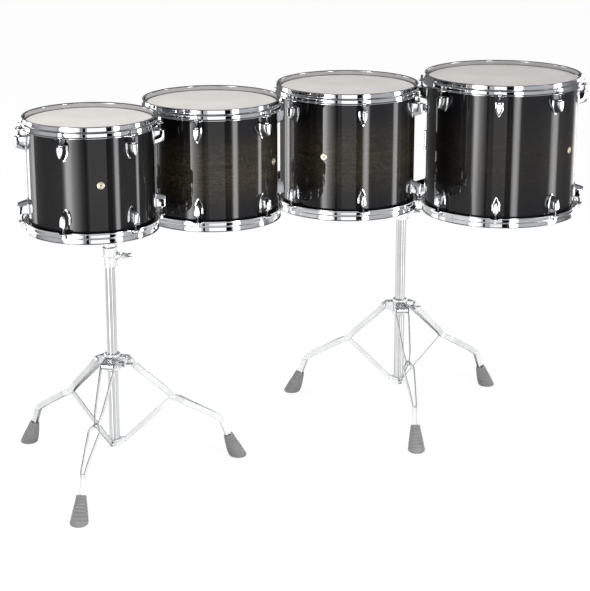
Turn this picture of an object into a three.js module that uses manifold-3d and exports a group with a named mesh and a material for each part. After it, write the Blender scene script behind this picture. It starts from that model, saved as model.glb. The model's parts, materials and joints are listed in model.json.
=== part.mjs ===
import * as THREE from 'three';
import { mergeVertices } from 'three/addons/utils/BufferGeometryUtils.js';
import Module from 'manifold-3d';

// Four concert toms of rising size, in two pairs, each pair on a double tom stand.
// Millimetres, +Z up, +X along the row from the smallest tom to the largest.
// The player stands on the -Y side, and the stands' posts are behind the toms.

const wasm = await Module();
wasm.setup();

// Driving dimensions of the toms
const inch = 25.4;
const batterRimHeight = 1025;
const toms = [
  { name: 'tom_12', diameter: 12 * inch, depth: 10 * inch, lugs: 6, firstLug: -135.9, vent: -104 },
  { name: 'tom_13', diameter: 13 * inch, depth: 11 * inch, lugs: 6, firstLug: -128.4, vent: -49 },
  { name: 'tom_14', diameter: 14 * inch, depth: 12 * inch, lugs: 6, firstLug: -167.9, vent: -140 },
  { name: 'tom_16', diameter: 16 * inch, depth: 14 * inch, lugs: 8, firstLug: -172.6, vent: -62 },
];
const drumSides = 20;
const shellWall = 6.5;
const bearingInset = 3;
const ventBoreRadius = 1.75;
const ventPlateRadius = 9;
const ventPlateHeight = 1.2;
const ventSides = 12;
const ventBoreSides = 6;

// Driving dimensions of the heads and hoops
const filmThickness = 0.5;
const filmGap = 0.3;
const fleshRingInset = 0.8;
const fleshRingWidth = 6.2;
const fleshRingHeight = 5;
const rimAboveEdge = 13;
const hoopHeight = 28;
const hoopSheet = 2.3;
const hoopReach = 12.5;
const rimLipReach = 8.5;
const hoopStepDepth = 14;
const collarFall = 4.5;

// Driving dimensions of the tension rods, ears and lug casings
const rodOffset = 16;
const rodRadius = 3;
const rodSides = 4;
const rodHeadRadius = 5;
const rodHeadHeight = 14;
const earWidth = 16;
const earThickness = 3.5;
const earReach = 24;
const lugDrop = 44;
const lugHeight = 42;
const lugWidth = 25;
const lugProjection = 27;
const lugNoseWidthShare = 0.52;
const lugNoseHeightShare = 0.68;
const shieldShares = [
  [-0.5, 0], [-0.46, -0.56], [0, -1], [0.46, -0.56], [0.5, 0],
];

// Driving dimensions of the shell brackets and the arms
const armRodRadius = 5.25;
const armRodSides = 6;
const armBend = 24;
const armSteps = 8;
const armTailBelowBracket = 15;
const bracketOffset = 22;
const bracketDrop = 180;
const bracketHeight = 60;
const bracketPlateWidth = 42;
const bracketPlateThickness = 4;
const bracketBossRadius = 12;
const bracketScrewLength = 22;

// Driving dimensions of the twin holder on the post
const holderBelowRim = 125;
const holderHeight = batterRimHeight - holderBelowRim;
const holderWidth = 44;
const holderDepth = 34;
const holderCorner = 6.8;
const holderBlockHeight = 36;
const ratchetRadius = 17;
const ratchetSides = 12;
const ratchetThickness = 8;
const armRatchetThickness = 12;
const tilterScrewLength = 26;

// Driving dimensions of the tubes
const baseTubeRadius = 14.3;
const postRadius = 12.5;
const postWall = 1.5;
const tubeSides = 10;
const baseTubeBottom = 80;
const baseTubeTop = 604;
const postBottom = 400;

// Driving dimensions of the height clamp and the stop lock
const clampHeight = 54;
const clampBelowTubeTop = 26;
const clampRadius = 21;
const clampBossRadius = 8;
const clampBossReach = 28;
const stopLockHeight = 17;
const stopLockRadius = 19;
const keyBoltRadius = 5.7;
const wingShaftRadius = 3.2;
const wingReach = 26;
const wingSpan = 38;
const wingRoot = 8;
const wingThickness = 5;
const wingTipLength = 9;
const clampWingAngle = -32;

// Driving dimensions of the tripod
const hubPivotRadius = 45;
const hubPivotHeight = 316;
const collarPivotRadius = 28;
const collarPivotHeight = 92;
const middlePivotRadius = 163;
const middlePivotHeight = 196;
const kneeRadius = 300;
const kneeHeight = 114;
const legEndRadius = 330;
const legEndHeight = 34;
const hubSleeveRadius = 22;
const hubSleeveHeight = 46;
const hubEarHeight = 18;
const hubBossReach = 30;
const stripHeight = 16;
const stripThickness = 3;
const stripSpread = 18;
const middleSpread = 15;
const kneeSpread = 5;
const strutWidth = 14;
const strutThickness = 3;
const strutSideGap = 0.6;
const legPinRadius = 3;
const collarPinRadius = 2.5;
const pinHeadRadius = 5.5;
const pinHeadHeight = 2;
const pinSides = 6;
const collarRadius = 19;
const collarHeight = 20;
const collarCheekThickness = 3;
const collarCheekWidth = 13;

// Driving dimensions of the rubber feet
const footTopHeight = 68;
const footTopRadius = 13;
const footBaseRadius = 21;
const footSides = 10;
const footSocketSkin = 2;

// Clearances and overruns
const seatGap = 0.3;
const turningGap = 0.35;
const embed = 3;
const overrun = 2;

// Where the stands stand, and how they are turned
const standSpacing = 927;
const standStep = 53;
const stands = [
  { name: 'left', place: [0, 0], yaw: 9.9, legAngles: [101.3, -138.7, -18.7] },
  { name: 'right', place: [standSpacing, standStep], yaw: -9.9, legAngles: [136.3, -103.7, 16.3] },
];

// Where each tom hangs from its stand's post, across and forward, as shares of its own radius
const tomPlaceShares = [[-1.1056, -1.2795], [1.166, -1.1811], [-1.4426, -1.3161], [0.9473, -1.1516]];

const chrome = { color: 0xd9dbdd, roughness: 0.12, metalness: 1 };
const steel = { color: 0xc9cbcd, roughness: 0.2, metalness: 1 };
const castMetal = { color: 0xd0d2d4, roughness: 0.24, metalness: 1 };
const lacquer = { color: 0x17130f, roughness: 0.14, metalness: 0 };
const film = { color: 0xd9d5cf, roughness: 0.55, metalness: 0 };
const rubber = { color: 0x8e8e90, roughness: 0.85, metalness: 0 };

const roundSteps = 3;
const radians = THREE.MathUtils.degToRad;
const halfTurn = Math.PI;

// A closed mesh as a solid that can be joined and cut
function toSolid(geometry) {
  const bare = geometry.clone();
  bare.deleteAttribute('normal');
  bare.deleteAttribute('uv');
  const merged = mergeVertices(bare);
  const corners = merged.index.array;
  const triangles = [];
  for (let i = 0; i < corners.length; i += 3) {
    const [a, b, c] = corners.slice(i, i + 3);
    if (a !== b && b !== c && c !== a) triangles.push(a, b, c);
  }
  return new wasm.Manifold(new wasm.Mesh({
    numProp: 3,
    vertProperties: new Float32Array(merged.attributes.position.array),
    triVerts: new Uint32Array(triangles),
  }));
}

function toGeometry(solid) {
  const mesh = solid.getMesh();
  const geometry = new THREE.BufferGeometry();
  geometry.setAttribute('position', new THREE.BufferAttribute(new Float32Array(mesh.vertProperties), 3));
  geometry.setIndex(new THREE.BufferAttribute(new Uint32Array(mesh.triVerts), 1));
  return geometry;
}

function join(...pieces) {
  return toGeometry(pieces.map(toSolid).reduce((whole, piece) => whole.add(piece)));
}

function cut(base, ...tools) {
  return toGeometry(tools.map(toSolid).reduce((rest, tool) => rest.subtract(tool), toSolid(base)));
}

// The corner radius of a faceted bore whose flats clear a shaft
function boreRadius(shaftRadius, gap, sides) {
  return (shaftRadius + gap) / Math.cos(halfTurn / sides);
}

// A profile of [radius, height] points turned about Z, with the middle of a flat towards +X
function revolve(profile, sides) {
  const points = profile.map(([radius, height]) => new THREE.Vector2(radius, height));
  if (THREE.ShapeUtils.area(points) < 0) points.reverse();
  if (points[0].x > 0 || points[points.length - 1].x > 0) points.push(points[0]);
  const geometry = new THREE.LatheGeometry(points, sides);
  geometry.rotateX(halfTurn / 2);
  geometry.rotateZ(halfTurn / sides);
  return geometry;
}

function rod(radius, low, high, sides) {
  return revolve([[0, low], [radius, low], [radius, high], [0, high]], sides);
}

function tube(innerRadius, outerRadius, low, high, sides) {
  return revolve([[innerRadius, low], [outerRadius, low], [outerRadius, high], [innerRadius, high]], sides);
}

// A flat outline with thickness, centred on its own plane
function plate(outline, thickness, holes = []) {
  const shape = new THREE.Shape(outline.map(([x, y]) => new THREE.Vector2(x, y)));
  for (const [x, y, radius] of holes) {
    const hole = new THREE.Path();
    hole.absarc(x, y, radius, 0, 2 * halfTurn, true);
    shape.holes.push(hole);
  }
  const settings = { depth: thickness, bevelEnabled: false, curveSegments: pinSides };
  return new THREE.ExtrudeGeometry(shape, settings).translate(0, 0, -thickness / 2);
}

// Rings of matching points, skinned one to the next and capped at both ends.
// Each ring runs counter-clockwise as seen from the last ring.
function loft(rings) {
  const count = rings[0].length;
  const positions = rings.flat().flatMap((point) => point.toArray());
  const triangles = [];
  for (let ring = 0; ring + 1 < rings.length; ring += 1) {
    for (let side = 0; side < count; side += 1) {
      const next = (side + 1) % count;
      const [a, b] = [ring * count + side, ring * count + next];
      const [c, d] = [a + count, b + count];
      triangles.push(a, b, d, a, d, c);
    }
  }
  const last = (rings.length - 1) * count;
  for (let side = 1; side + 1 < count; side += 1) {
    triangles.push(0, side + 1, side, last, last + side, last + side + 1);
  }
  const geometry = new THREE.BufferGeometry();
  geometry.setAttribute('position', new THREE.Float32BufferAttribute(positions, 3));
  geometry.setIndex(triangles);
  return geometry;
}

function finish(look) {
  return new THREE.MeshStandardMaterial(look);
}

function addPiece(parent, name, geometry, look) {
  const mesh = new THREE.Mesh(geometry, finish(look));
  mesh.name = name;
  parent.add(mesh);
}

function halfRound(centre, width, startAngle) {
  return Array.from({ length: roundSteps + 1 }, (_, step) => {
    const angle = startAngle + (halfTurn * step) / roundSteps;
    return [centre + (width / 2) * Math.cos(angle), (width / 2) * Math.sin(angle)];
  });
}

// A straight bar with two round ends, its end centres at the origin and along +X
function barOutline(length, width) {
  return [...halfRound(length, width, -halfTurn / 2), ...halfRound(0, width, halfTurn / 2)];
}

// An ear that is square where it joins its casting and round at its far end
function earOutline(length, width) {
  return [[0, -width / 2], ...halfRound(length, width, -halfTurn / 2), [0, width / 2]];
}

// A drum's parts are drawn from its batter rim, which is at height zero

function overallHeight(tom) {
  return tom.depth + 2 * rimAboveEdge;
}

function lugAngles(tom) {
  const spacing = (2 * halfTurn) / tom.lugs;
  return Array.from({ length: tom.lugs }, (_, i) => radians(tom.firstLug) + spacing * i - tom.facing);
}

// The lower half of a drum is its upper half turned over
function turnOver(geometry, tom) {
  return geometry.rotateX(halfTurn).translate(0, 0, -overallHeight(tom));
}

// A lug casing: a shield on the shell that narrows to a nose, with its flat end towards the hoop
function lugCasing(radius, angle) {
  const ring = (distance, widthShare, heightShare) => shieldShares.map(([across, down]) => new THREE.Vector3(
    distance,
    across * lugWidth * widthShare,
    down * lugHeight * heightShare - lugDrop,
  ));
  const casing = loft([
    ring(radius - embed, 1, 1),
    ring(radius + lugProjection, lugNoseWidthShare, lugNoseHeightShare),
  ]);
  return casing.rotateZ(angle);
}

function shellGeometry(tom) {
  const radius = tom.diameter / 2;
  const top = -rimAboveEdge;
  const bottom = top - tom.depth;
  const innerFall = shellWall - bearingInset;
  const shell = revolve([
    [radius - bearingInset, bottom],
    [radius, bottom + bearingInset],
    [radius, top - bearingInset],
    [radius - bearingInset, top],
    [radius - shellWall, top - innerFall],
    [radius - shellWall, bottom + innerFall],
  ], drumSides);
  const angles = lugAngles(tom);
  const upperLugs = angles.map((angle) => lugCasing(radius, angle));
  const lowerLugs = angles.map((angle) => turnOver(lugCasing(radius, -angle), tom));
  const ventFace = radius + ventPlateHeight;
  const [ventPlate, ventBore] = [
    rod(ventPlateRadius, radius - shellWall / 2, ventFace, ventSides),
    rod(ventBoreRadius, radius - 2 * shellWall, ventFace + overrun, ventBoreSides),
  ].map((piece) => {
    piece.rotateY(halfTurn / 2).rotateZ(radians(tom.vent) - tom.facing);
    return piece.translate(0, 0, -overallHeight(tom) / 2);
  });
  return cut(join(shell, ...upperLugs, ...lowerLugs, ventPlate), ventBore);
}

// A head: film over the bearing edge, folded down into the flesh ring
function headGeometry(tom) {
  const radius = tom.diameter / 2;
  const underside = filmGap - rimAboveEdge;
  const ringInner = radius + fleshRingInset;
  const ringOuter = ringInner + fleshRingWidth;
  const ringTop = underside - collarFall;
  const filmEdge = radius - bearingInset + fleshRingInset;
  return revolve([
    [0, underside],
    [filmEdge, underside],
    [ringInner, underside - bearingInset],
    [ringInner, ringTop - fleshRingHeight],
    [ringOuter, ringTop],
    [filmEdge + filmThickness, underside + filmThickness],
    [0, underside + filmThickness],
  ], drumSides);
}

// A flanged hoop: a lip at the rim, a step that presses on the flesh ring and a skirt outside it
function hoopGeometry(tom, angles) {
  const radius = tom.diameter / 2;
  const ringOuter = radius + fleshRingInset + fleshRingWidth;
  const skirtInner = ringOuter + filmGap;
  const skirtOuter = skirtInner + hoopSheet;
  const collarInner = radius + bearingInset;
  const collarOuter = collarInner + hoopSheet;
  const stepUnder = -(hoopStepDepth + hoopSheet);
  const earTop = earThickness - hoopHeight;
  const hoop = revolve([
    [collarInner, 0],
    [collarInner, -hoopStepDepth],
    [skirtInner, stepUnder],
    [skirtInner, -hoopHeight],
    [radius + hoopReach, -hoopHeight],
    [skirtOuter, -hoopStepDepth],
    [collarOuter, -hoopStepDepth + hoopSheet],
    [radius + rimLipReach, 0],
  ], drumSides);
  const rodEnd = seatGap - lugDrop;
  const fixings = angles.map((angle) => {
    const ear = new THREE.BoxGeometry(earReach - hoopReach + embed, earWidth, earThickness);
    ear.translate(radius + (earReach + hoopReach - embed) / 2, 0, earTop - earThickness / 2);
    const tensionRod = revolve([
      [0, rodEnd],
      [rodRadius, rodEnd],
      [rodRadius, earTop - earThickness / 2],
      [rodHeadRadius, earTop - earThickness / 2],
      [rodHeadRadius, earTop + rodHeadHeight],
      [0, earTop + rodHeadHeight],
    ], rodSides);
    tensionRod.translate(radius + rodOffset, 0, 0);
    return join(ear, tensionRod).rotateZ(angle);
  });
  return join(hoop, ...fixings);
}

// A wing screw along +X from the origin: a shaft, a round root and two wings
function wingScrew(shaftLength) {
  const shaft = revolve([
    [0, 0],
    [wingShaftRadius, 0],
    [wingShaftRadius, shaftLength],
    [wingRoot, shaftLength],
    [wingRoot, shaftLength + wingReach / 2],
    [0, shaftLength + wingReach / 2],
  ], pinSides);
  shaft.rotateY(halfTurn / 2);
  const wings = plate([
    [shaftLength + wingThickness, -wingRoot / 2],
    [shaftLength + wingReach - wingTipLength, -wingSpan / 2],
    [shaftLength + wingReach, -wingSpan / 2],
    [shaftLength + wingReach / 2, 0],
    [shaftLength + wingReach, wingSpan / 2],
    [shaftLength + wingReach - wingTipLength, wingSpan / 2],
    [shaftLength + wingThickness, wingRoot / 2],
  ], wingThickness);
  return join(shaft, wings);
}

// The bracket on the shell: a plate, a boss bored for the arm's rod, and its wing screw
function bracketGeometry(tom) {
  const flat = (tom.diameter / 2) * Math.cos(halfTurn / drumSides);
  const base = flat + seatGap;
  const middle = -bracketDrop - bracketHeight / 2;
  const plateBlock = new THREE.BoxGeometry(bracketPlateThickness, bracketPlateWidth, bracketHeight);
  plateBlock.translate(base + bracketPlateThickness / 2, 0, middle);
  const bore = boreRadius(armRodRadius, turningGap, armRodSides);
  const bossOutline = earOutline(bracketOffset, 2 * bracketBossRadius);
  const boss = plate(bossOutline, bracketHeight - 2 * bracketPlateThickness);
  boss.translate(base + bracketPlateThickness / 2, 0, middle);
  const screw = wingScrew(bracketScrewLength);
  screw.rotateZ(tom.screwSide * halfTurn / 2);
  screw.translate(flat + bracketOffset, 0, middle);
  const reach = bracketHeight / 2 + overrun;
  const boreTool = rod(bore, middle - reach, middle + reach, armRodSides);
  boreTool.translate(flat + bracketOffset, 0, 0);
  return cut(join(plateBlock, boss, screw), boreTool);
}

function addTom(parent, tom) {
  const group = new THREE.Group();
  group.position.set(tom.x, tom.y, batterRimHeight);
  group.rotation.z = tom.facing;
  parent.add(group);
  const angles = lugAngles(tom);
  const mirrored = angles.map((angle) => -angle);
  addPiece(group, `${tom.name}_shell`, shellGeometry(tom), lacquer);
  addPiece(group, `${tom.name}_batter_head`, headGeometry(tom), film);
  addPiece(group, `${tom.name}_resonant_head`, turnOver(headGeometry(tom), tom), film);
  addPiece(group, `${tom.name}_batter_hoop`, hoopGeometry(tom, angles), chrome);
  addPiece(group, `${tom.name}_resonant_hoop`, turnOver(hoopGeometry(tom, mirrored), tom), chrome);
  addPiece(group, `${tom.name}_bracket`, bracketGeometry(tom), castMetal);
}

// A stand's parts are drawn about its own upright axis, from the floor

function baseTubeGeometry(legAngles) {
  const innerRadius = boreRadius(postRadius, seatGap, tubeSides);
  const main = tube(innerRadius, baseTubeRadius, baseTubeBottom, baseTubeTop, tubeSides);
  const collar = tube(innerRadius, collarRadius, baseTubeBottom, baseTubeBottom + collarHeight, tubeSides);
  const cheekOffset = strutThickness / 2 + seatGap + collarCheekThickness / 2;
  const cheekLength = collarPivotRadius - baseTubeRadius;
  const ears = legAngles.flatMap((angle) => {
    const cheeks = [-1, 1].map((side) => {
      const cheek = plate(earOutline(cheekLength, collarCheekWidth), collarCheekThickness);
      cheek.rotateX(halfTurn / 2);
      return cheek.translate(baseTubeRadius, side * cheekOffset, collarPivotHeight);
    });
    const pin = rod(collarPinRadius, -cheekOffset, cheekOffset, pinSides);
    pin.rotateX(halfTurn / 2).translate(collarPivotRadius, 0, collarPivotHeight);
    return [...cheeks, pin].map((piece) => piece.rotateZ(angle));
  });
  const channel = rod(innerRadius, baseTubeBottom - overrun, baseTubeTop + overrun, tubeSides);
  return cut(join(main, collar, ...ears), channel);
}

function hubGeometry(legAngles, wingAngle) {
  const innerRadius = boreRadius(baseTubeRadius, turningGap, tubeSides);
  const low = hubPivotHeight - hubSleeveHeight / 2;
  const sleeve = rod(hubSleeveRadius, low, low + hubSleeveHeight, tubeSides);
  const earWidthInside = 2 * (stripSpread - stripThickness / 2 - turningGap);
  const ears = legAngles.map((angle) => {
    const pinHole = [hubPivotRadius, 0, boreRadius(legPinRadius, turningGap, pinSides)];
    const ear = plate(earOutline(hubPivotRadius, hubEarHeight), earWidthInside, [pinHole]);
    ear.rotateX(halfTurn / 2);
    return ear.translate(0, 0, hubPivotHeight).rotateZ(angle);
  });
  const boss = rod(clampBossRadius, 0, hubBossReach, pinSides);
  boss.rotateY(halfTurn / 2).rotateZ(wingAngle).translate(0, 0, hubPivotHeight);
  const shaftBore = boreRadius(wingShaftRadius, turningGap, pinSides);
  const screwHole = rod(shaftBore, 0, hubBossReach + overrun, pinSides);
  screwHole.rotateY(halfTurn / 2).rotateZ(wingAngle).translate(0, 0, hubPivotHeight);
  const channel = rod(innerRadius, low - overrun, low + hubSleeveHeight + overrun, tubeSides);
  return cut(join(sleeve, ...ears, boss), channel, screwHole);
}

// The line of a leg's steel strips: [radius, height, half the distance between the strips]
function legLine() {
  const { lerp } = THREE.MathUtils;
  const pinched = strutThickness / 2 + strutSideGap + stripThickness / 2;
  const upperShares = [[0.1, -1], [0.84, 1]];
  const upper = upperShares.map(([share, riseShare]) => [
    lerp(hubPivotRadius, middlePivotRadius, share),
    lerp(hubPivotHeight, middlePivotHeight, share) + riseShare * stripThickness,
    lerp(stripSpread, pinched, share * share * share),
  ]);
  const lowerShares = [[0.17, 0], [0.8, 0.8]];
  const lower = lowerShares.map(([share, closeShare]) => [
    lerp(middlePivotRadius, kneeRadius, share),
    lerp(middlePivotHeight, kneeHeight, share) + stripThickness,
    lerp(middleSpread, kneeSpread, closeShare),
  ]);
  return [
    [hubPivotRadius, hubPivotHeight, stripSpread],
    ...upper,
    [middlePivotRadius, middlePivotHeight, pinched],
    ...lower,
    [kneeRadius, kneeHeight, kneeSpread],
    [legEndRadius, legEndHeight, kneeSpread],
  ];
}

// One flat strip on edge, bent along the leg's line on one side of its middle plane
function stripGeometry(line, side) {
  const rings = line.map(([radius, height, spread], i) => {
    const before = line[Math.max(i - 1, 0)];
    const after = line[Math.min(i + 1, line.length - 1)];
    const along = new THREE.Vector2(after[0] - before[0], after[1] - before[1]).normalize();
    const across = new THREE.Vector2(-along.y, along.x).multiplyScalar(stripHeight / 2);
    const inner = side * spread - stripThickness / 2;
    const outer = side * spread + stripThickness / 2;
    return [
      new THREE.Vector3(radius - across.x, inner, height - across.y),
      new THREE.Vector3(radius - across.x, outer, height - across.y),
      new THREE.Vector3(radius + across.x, outer, height + across.y),
      new THREE.Vector3(radius + across.x, inner, height + across.y),
    ];
  });
  return loft(rings);
}

// A rivet across the leg at a point of its line, through both strips
function crossPin([radius, height, spread]) {
  const end = spread + stripThickness / 2 + pinHeadHeight;
  return rod(legPinRadius, -end, end, pinSides).rotateX(halfTurn / 2).translate(radius, 0, height);
}

function legGeometry() {
  const line = legLine();
  const [hubEnd] = line;
  const knee = line[line.length - 2];
  const middle = line[3];
  const strips = [-1, 1].map((side) => stripGeometry(line, side));
  const rivetHeads = [-1, 1].map((side) => {
    const face = middle[2] + stripThickness / 2;
    const head = rod(pinHeadRadius, face - seatGap, face + pinHeadHeight, pinSides);
    head.rotateX((side * -halfTurn) / 2);
    return head.translate(middle[0], 0, middle[1]);
  });
  return join(...strips, crossPin(hubEnd), crossPin(knee), ...rivetHeads);
}

function strutGeometry() {
  const rise = middlePivotHeight - collarPivotHeight;
  const run = middlePivotRadius - collarPivotRadius;
  const length = Math.hypot(run, rise);
  const collarHole = [0, 0, boreRadius(collarPinRadius, turningGap, pinSides)];
  const bar = plate(barOutline(length, strutWidth), strutThickness, [collarHole]);
  bar.rotateX(halfTurn / 2);
  bar.rotateY(-Math.atan2(rise, run));
  return bar.translate(collarPivotRadius, 0, collarPivotHeight);
}

// A rubber boot that leans with the leg's end and stands flat on the floor
function footGeometry() {
  const lean = (legEndRadius - kneeRadius) / (kneeHeight - legEndHeight);
  const heightShares = [0, 0.08, 0.5, 1];
  const swellShares = [0.82, 1, 0.7, 0];
  const rings = heightShares.map((share, i) => {
    const height = footTopHeight * share;
    const centre = kneeRadius + (kneeHeight - height) * lean;
    const radius = THREE.MathUtils.lerp(footTopRadius, footBaseRadius, swellShares[i]);
    return Array.from({ length: footSides }, (_, side) => {
      const angle = (2 * halfTurn * side) / footSides;
      return new THREE.Vector3(centre + radius * Math.cos(angle), radius * Math.sin(angle), height);
    });
  });
  const boot = loft(rings);
  const socketWidth = 2 * (kneeSpread + stripThickness / 2 + seatGap);
  const socketDepth = stripHeight + 2 * seatGap;
  const socketLength = Math.hypot(legEndRadius - kneeRadius, kneeHeight - legEndHeight) + footSocketSkin;
  const socket = new THREE.BoxGeometry(socketDepth, socketWidth, socketLength);
  socket.translate(0, 0, -socketLength / 2);
  socket.rotateY(-Math.atan(lean));
  socket.translate(kneeRadius, 0, kneeHeight);
  return cut(boot, socket);
}

function clampGeometry(wingAngle) {
  const low = baseTubeTop - clampHeight + clampBelowTubeTop;
  const high = low + clampHeight;
  const body = rod(clampRadius, low, high, tubeSides);
  const middle = (low + high) / 2;
  const boss = rod(clampBossRadius, 0, clampBossReach, pinSides);
  boss.rotateY(halfTurn / 2).rotateZ(wingAngle).translate(0, 0, middle);
  const shaftBore = boreRadius(wingShaftRadius, turningGap, pinSides);
  const screwHole = rod(shaftBore, clampRadius - embed, clampBossReach + overrun, pinSides);
  screwHole.rotateY(halfTurn / 2).rotateZ(wingAngle).translate(0, 0, middle);
  const tubeBore = boreRadius(baseTubeRadius, seatGap, tubeSides);
  const tubeSeat = rod(tubeBore, low - overrun, baseTubeTop + seatGap, tubeSides);
  const postBore = boreRadius(postRadius, turningGap, tubeSides);
  const postWay = rod(postBore, low, high + overrun, tubeSides);
  return cut(join(body, boss), tubeSeat, postWay, screwHole);
}

function clampMiddle() {
  return baseTubeTop + clampBelowTubeTop - clampHeight / 2;
}

function stopLockGeometry(angle) {
  const low = baseTubeTop + clampBelowTubeTop + seatGap;
  const innerRadius = boreRadius(postRadius, turningGap, tubeSides);
  const ring = tube(innerRadius, stopLockRadius, low, low + stopLockHeight, tubeSides);
  const keyBolt = rod(keyBoltRadius, innerRadius, stopLockRadius + wingRoot, pinSides);
  keyBolt.rotateY(halfTurn / 2).rotateZ(angle).translate(0, 0, low + stopLockHeight / 2);
  return join(ring, keyBolt);
}

// The post with the twin holder fixed to its top: a block with a ratchet disc on each side
function postGeometry() {
  const top = holderHeight - holderBlockHeight / 2;
  const main = tube(postRadius - postWall, postRadius, postBottom, top + embed, tubeSides);
  const half = holderWidth / 2;
  const side = holderDepth / 2;
  const block = plate([
    [-half, holderCorner - side], [holderCorner - half, -side],
    [half - holderCorner, -side], [half, holderCorner - side],
    [half, side - holderCorner], [half - holderCorner, side],
    [holderCorner - half, side], [-half, side - holderCorner],
  ], holderBlockHeight);
  block.translate(0, 0, holderHeight);
  const discs = [-1, 1].map((way) => {
    const disc = rod(ratchetRadius, half - embed, half + ratchetThickness, ratchetSides);
    return disc.rotateY((way * halfTurn) / 2).translate(0, 0, holderHeight);
  });
  return join(main, block, ...discs);
}

// An arm: the moving ratchet disc with its screw, and a rod that turns down into the bracket
function armGeometry(way, socket) {
  const innerFace = holderWidth / 2 + ratchetThickness + seatGap;
  const outerFace = innerFace + armRatchetThickness;
  const disc = rod(ratchetRadius, innerFace, outerFace, ratchetSides);
  disc.rotateY((way * halfTurn) / 2).translate(0, 0, holderHeight);
  const screw = wingScrew(tilterScrewLength - armRatchetThickness);
  screw.rotateZ(way > 0 ? 0 : halfTurn);
  screw.translate(way * (outerFace - embed), 0, holderHeight);
  const start = new THREE.Vector3(way * (outerFace - armRodRadius), 0, holderHeight);
  const corner = new THREE.Vector3(socket.x, socket.y, holderHeight);
  const bracketBottom = batterRimHeight - bracketDrop - bracketHeight;
  const end = new THREE.Vector3(socket.x, socket.y, bracketBottom - armTailBelowBracket);
  const beforeCorner = corner.clone().sub(start).setLength(armBend);
  const afterCorner = end.clone().sub(corner).setLength(armBend);
  const path = new THREE.CurvePath();
  path.add(new THREE.LineCurve3(start, corner.clone().sub(beforeCorner)));
  path.add(new THREE.QuadraticBezierCurve3(
    corner.clone().sub(beforeCorner),
    corner,
    corner.clone().add(afterCorner),
  ));
  path.add(new THREE.LineCurve3(corner.clone().add(afterCorner), end));
  const section = new THREE.Shape(Array.from({ length: armRodSides }, (_, i) => {
    const angle = (2 * halfTurn * i) / armRodSides;
    return new THREE.Vector2(armRodRadius * Math.cos(angle), armRodRadius * Math.sin(angle));
  }));
  const settings = { steps: armSteps, extrudePath: path, bevelEnabled: false };
  const bentRod = new THREE.ExtrudeGeometry(section, settings);
  return join(disc, screw, bentRod);
}

function addWing(parent, name, distance, height, angle) {
  const group = new THREE.Group();
  group.rotation.z = angle;
  group.position.z = height;
  parent.add(group);
  const geometry = wingScrew(wingReach / 2).translate(distance, 0, 0);
  addPiece(group, name, geometry, castMetal);
}

function addStand(parent, stand) {
  const group = new THREE.Group();
  group.position.set(...stand.place, 0);
  group.rotation.z = radians(stand.yaw);
  parent.add(group);
  const legAngles = stand.legAngles.map(radians);
  const hubWingAngle = (legAngles[1] + legAngles[2]) / 2;
  const wingAngle = radians(clampWingAngle);
  addPiece(group, `${stand.name}_base_tube`, baseTubeGeometry(legAngles), chrome);
  addPiece(group, `${stand.name}_leg_hub`, hubGeometry(legAngles, hubWingAngle), castMetal);
  addWing(group, `${stand.name}_hub_wing_screw`, hubSleeveRadius, hubPivotHeight, hubWingAngle);
  legAngles.forEach((angle, i) => {
    const turned = new THREE.Group();
    turned.rotation.z = angle;
    group.add(turned);
    addPiece(turned, `${stand.name}_leg_${i + 1}`, legGeometry(), steel);
    addPiece(turned, `${stand.name}_strut_${i + 1}`, strutGeometry(), steel);
    addPiece(turned, `${stand.name}_foot_${i + 1}`, footGeometry(), rubber);
  });
  addPiece(group, `${stand.name}_height_clamp`, clampGeometry(wingAngle), castMetal);
  addWing(group, `${stand.name}_height_wing_screw`, clampRadius, clampMiddle(), wingAngle);
  addPiece(group, `${stand.name}_stop_lock`, stopLockGeometry(wingAngle), castMetal);
  addPiece(group, `${stand.name}_post`, postGeometry(), chrome);
}

// Each tom faces its post, and its bracket takes the arm's rod on that side
function hangToms(parent) {
  stands.forEach((stand, pair) => {
    const yaw = radians(stand.yaw);
    ['left', 'right'].forEach((side, i) => {
      const tom = toms[pair * 2 + i];
      const way = side === 'left' ? -1 : 1;
      const local = new THREE.Vector2(...tomPlaceShares[pair * 2 + i]).multiplyScalar(tom.diameter / 2);
      const towardsPost = Math.atan2(-local.y, -local.x);
      const flat = (tom.diameter / 2) * Math.cos(halfTurn / drumSides);
      const reach = new THREE.Vector2(Math.cos(towardsPost), Math.sin(towardsPost));
      const socket = local.clone().addScaledVector(reach, flat + bracketOffset);
      const armGroup = new THREE.Group();
      armGroup.position.set(...stand.place, 0);
      armGroup.rotation.z = yaw;
      parent.add(armGroup);
      addPiece(armGroup, `${stand.name}_arm_${side}`, armGeometry(way, socket), chrome);
      const centre = local.rotateAround(new THREE.Vector2(), yaw);
      tom.x = stand.place[0] + centre.x;
      tom.y = stand.place[1] + centre.y;
      tom.facing = towardsPost + yaw;
      tom.screwSide = -way;
      addTom(parent, tom);
    });
  });
}

const set = new THREE.Group();
stands.forEach((stand) => addStand(set, stand));
hangToms(set);

// The origin is on the floor under the middle of the whole set
const bounds = new THREE.Box3().setFromObject(set, true);
const middle = bounds.getCenter(new THREE.Vector3());
set.position.set(-middle.x, -middle.y, -bounds.min.z);

export default set;
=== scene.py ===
# %% [markdown]
# Four concert toms on two double stands
# The object is a set of four two-headed drums of rising size, hung in pairs from two
# tripod stands. The frame holds every piece at its real size and place. Here each piece
# gets its finished shape and surface, in metres, in the frame's own axes: the row of
# drums runs along X, the player stands on the -Y side, and Z is up.

# %% Load the frame
import json
import math

import bmesh
import bpy
from mathutils import Matrix, Vector


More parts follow.
